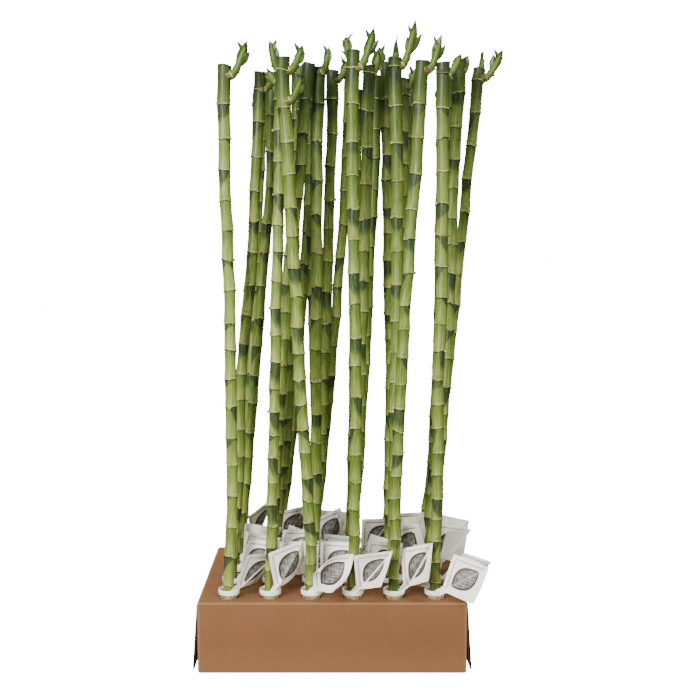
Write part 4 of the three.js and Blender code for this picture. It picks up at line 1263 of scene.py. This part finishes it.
class BAMBOO_OT_canes(bpy.types.Operator):
    """Makes the canes with their side shoots"""
    bl_idname = "bamboo.canes"
    bl_label = "Canes"

    def execute(self, context):
        settings = context.scene.bamboo_canes
        values = {
            "Skin": skin_material(settings), "Leaf": leaf_material(settings),
            "Sides": settings.sides, "Ring tilt": settings.ring_tilt, "Bud": settings.bud,
            "Unevenness": settings.unevenness, "Bare share": settings.bare}
        tree = cane_tree()
        for cane in CANES:
            name = "%d_%d" % cane[0]
            course = Course()
            tone = cane_course(course, cane, settings)
            for index, shoot in enumerate(cane[6]):
                shoot_course(course, cane, shoot, tone, index)
            piece = object_from("bamboo_" + name, course.mesh("bamboo_" + name))
            tree_on(piece, tree, **values)
            baked(piece)
            shape = bmesh.new()
            shape.from_mesh(piece.data)
            smooth_to(turned_outwards(shape, piece.data), SHARP_CANE)
            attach(piece, "root")
            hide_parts("cane_" + name)
        return {"FINISHED"}


# ---- Tags

def tag_mesh(name, place, settings):
    """A square card on a neck at its lower left corner, creased along its diagonal. It is springy:
    its halves curl back from the crease, and its far corner bends away."""
    seat, rise, turn, curl, fold = [math.radians(angle) for angle in TAG_POSES[place]]
    column, row = place
    if place in TAG_SHAPES:
        creased, pleat, bow, tail, bent = TAG_SHAPES[place]
    else:
        draw = draw_from(column * 211 + row * 17)
        creased, pleat, bow, tail, bent = [draw() * most for most in TAG_RANGES]
        rise += math.radians(TAG_ROCK * (2 * draw() - 1))
    level = math.cos(rise)
    along = Vector((level * math.cos(turn), -level * math.sin(turn), math.sin(rise)))
    facing = Vector((-math.sin(turn), -math.cos(turn), 0))
    across = facing.cross(along).normalized()
    foot = Vector((
        column_x(column) + TAG_SEAT * math.cos(seat), row_y(row) - TAG_SEAT * math.sin(seat),
        COLLAR_FLOOR)) - along * TAG_SUNK
    side = settings.side / MM
    diagonal = side * math.sqrt(2)
    half_neck = TAG_NECK_WIDTH / 2
    card_start = TAG_NECK - half_neck
    card_end = card_start + diagonal
    distances = NECK_ROWS + tuple(
        TAG_NECK + (card_end - TAG_NECK) * i / CARD_ROWS for i in range(CARD_ROWS + 1))
    shares = [
        math.copysign(abs(i / CARD_COLUMNS) ** COLUMN_CROWDING, i)
        for i in range(-CARD_COLUMNS, CARD_COLUMNS + 1)]
    points, flat = [], []
    for distance in distances:
        start, run = distance - card_start, distance / card_end
        reach = min(start, card_end - distance)
        half_width = half_neck if distance <= TAG_NECK else max(reach, CARD_TIP)
        spine = foot + along * distance + facing * (bow * math.sin(math.pi * run) - tail * run ** 3)
        stand = pleat * min(run * PLEAT_RISE, 1) * math.sqrt(1 - run)
        for share in shares:
            offset = share * half_width
            bend = bent * (fold if offset < 0 else curl)
            # The bend grows from the crease to the corner, as in springy card.
            sideways = back = 0
            for i in range(TAG_STEPS):
                part = abs(offset) / TAG_STEPS
                angle = bend * (creased + 2 * (1 - creased) * part * (i + 0.5) / (diagonal / 2))
                sideways += part * math.cos(angle)
                back += part * math.sin(angle)
            fin = stand * max(0, 1 - abs(offset) / PLEAT_WIDTH)
            sideways = math.copysign(sideways, offset) - PLEAT_LEAN * fin
            points.append((spine + across * sideways - facing * (back - fin)) * MM)
            flat.append(((start - offset) / diagonal, (start + offset) / diagonal))
    width = len(shares)
    faces = [
        (i * width + j, i * width + j + 1, (i + 1) * width + j + 1, (i + 1) * width + j)
        for i in range(len(distances) - 1) for j in range(width - 1)]
    mesh = mesh_from(name, points, faces)
    # How creased a card is sets how strongly the painted shade and highlight along its crease show.
    worn = mesh.attributes.new("creased", "FLOAT", "POINT")
    worn.data.foreach_set("value", [creased] * len(points))
    layer = mesh.uv_layers.new(name="card")
    for loop in mesh.loops:
        layer.data[loop.index].uv = flat[loop.vertex_index]
    if mesh.polygons[width].normal.dot(facing) < 0:
        mesh.flip_normals()
    mesh.shade_smooth()
    return mesh


class BAMBOO_OT_tags(bpy.types.Operator):
    """Makes the paper tags in the collars"""
    bl_idname = "bamboo.tags"
    bl_label = "Tags"

    def execute(self, context):
        settings = context.scene.bamboo_tags
        printed, plain = card_material(settings, True), card_material(settings, False)
        for place in TAG_POSES:
            name = "paper_tag_%d_%d" % place
            piece = object_from(name, tag_mesh(name, place, settings))
            front, back = (plain, printed) if place in TURNED_TAGS else (printed, plain)
            finish_with(piece, front, back, plain)
            card = piece.modifiers.new("Card", "SOLIDIFY")
            card.thickness = settings.thickness
            card.offset = 0
            card.material_offset = 1
            card.material_offset_rim = 2
            baked(piece)
            smooth_to(piece.data, SHARP_CARD)
            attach(piece, "root")
            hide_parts(vial_node(place))
        return {"FINISHED"}


# ---- Stage

class BAMBOO_OT_stage(bpy.types.Operator):
    """Makes the floor, the lights and the camera"""
    bl_idname = "bamboo.stage"
    bl_label = "Stage"

    def execute(self, context):
        settings = context.scene.bamboo_stage
        material, tree, surface = shader("studio_floor")
        feed(tree, surface, {
            "Base Color": settings.floor, "Roughness": 0.9, "Emission Color": settings.floor,
            "Emission Strength": settings.glow})
        flat, turns = FLOOR_REACH - FLOOR_BEND, [90 * i / BEND_STEPS for i in range(BEND_STEPS + 1)]
        line = [
            (flat + FLOOR_BEND * math.sin(a), FLOOR_BEND - FLOOR_BEND * math.cos(a))
            for a in map(math.radians, turns)] + [(FLOOR_REACH, WALL_HEIGHT)]
        count = len(line)
        angles = [2 * math.pi * i / FLOOR_SIDES for i in range(FLOOR_SIDES)]
        points = [(r * math.cos(a), r * math.sin(a), z) for a in angles for r, z in line]
        faces = [[i * count for i in range(FLOOR_SIDES)]]
        for i in range(FLOOR_SIDES):
            low, high = i * count, (i + 1) % FLOOR_SIDES * count
            faces += [(high + j, low + j, low + j + 1, high + j + 1) for j in range(count - 1)]
        floor = object_from("floor", mesh_from("floor", points, faces))
        finish_with(floor, material)
        floor.data.shade_smooth()
        # The bright floor is for the camera alone, so that it doesn't wash out the canes.
        floor.visible_diffuse = False
        floor.visible_glossy = False
        for name, (place, (wide, high), mirrored) in LIGHTS.items():
            light = bpy.data.lights.new(name + "_light", "AREA")
            light.energy = getattr(settings, name)
            light.shape = "RECTANGLE"
            light.size, light.size_y = wide, high
            lamp = object_from(name + "_light", light)
            lamp.location = place
            lamp.rotation_euler = (LIGHT_AIM - Vector(place)).to_track_quat("-Z", "Y").to_euler()
            lamp.visible_glossy = mirrored
        world = bpy.data.worlds.new("studio")
        world.use_nodes = True
        feed(world.node_tree, world.node_tree.nodes["Background"], {
            "Color": "#FFFFFF", "Strength": settings.sky})
        context.scene.world = world
        lens = bpy.data.cameras.new("camera")
        lens.lens, lens.sensor_width, lens.shift_x = CAMERA_LENS, CAMERA_SENSOR, CAMERA_SHIFT
        camera = object_from("camera", lens)
        camera.location = CAMERA_PLACE
        camera.rotation_euler = (math.pi / 2 - CAMERA_PITCH, 0, 0)
        context.scene.camera = camera
        return {"FINISHED"}


class BAMBOO_PT_panel(bpy.types.Panel):
    """Lists the steps that make the object"""
    bl_idname = "BAMBOO_PT_panel"
    bl_label = "Lucky bamboo"
    bl_space_type = "VIEW_3D"
    bl_region_type = "UI"
    bl_category = "Bamboo"

    def draw(self, context):
        for name, _, operator in STEPS:
            box = self.layout.box()
            settings = getattr(context.scene, name)
            for item in settings.bl_rna.properties.keys():
                if item not in ("rna_type", "name"):
                    box.prop(settings, item)
            box.operator(operator.bl_idname)


# The steps in order: where the scene keeps their settings, the settings, and the operator.
STEPS = (
    ("bamboo_stage", StageSettings, BAMBOO_OT_stage),
    ("bamboo_carton", CartonSettings, BAMBOO_OT_carton),
    ("bamboo_vials", VialSettings, BAMBOO_OT_vials),
    ("bamboo_canes", CaneSettings, BAMBOO_OT_canes),
    ("bamboo_tags", TagSettings, BAMBOO_OT_tags),
)
CLASSES = [item for step in STEPS for item in step[1:]] + [BAMBOO_PT_panel]


def register():
    for item in CLASSES:
        bpy.utils.register_class(item)
    for name, group, _ in STEPS:
        setattr(bpy.types.Scene, name, bpy.props.PointerProperty(type=group))


def unregister():
    for name, _, _ in STEPS:
        delattr(bpy.types.Scene, name)
    for item in reversed(CLASSES):
        bpy.utils.unregister_class(item)


def main():
    register()
    bpy.ops.bamboo.stage()
    bpy.ops.bamboo.carton()
    bpy.ops.bamboo.vials()
    bpy.ops.bamboo.canes()
    bpy.ops.bamboo.tags()


if __name__ == "__main__":
    main()
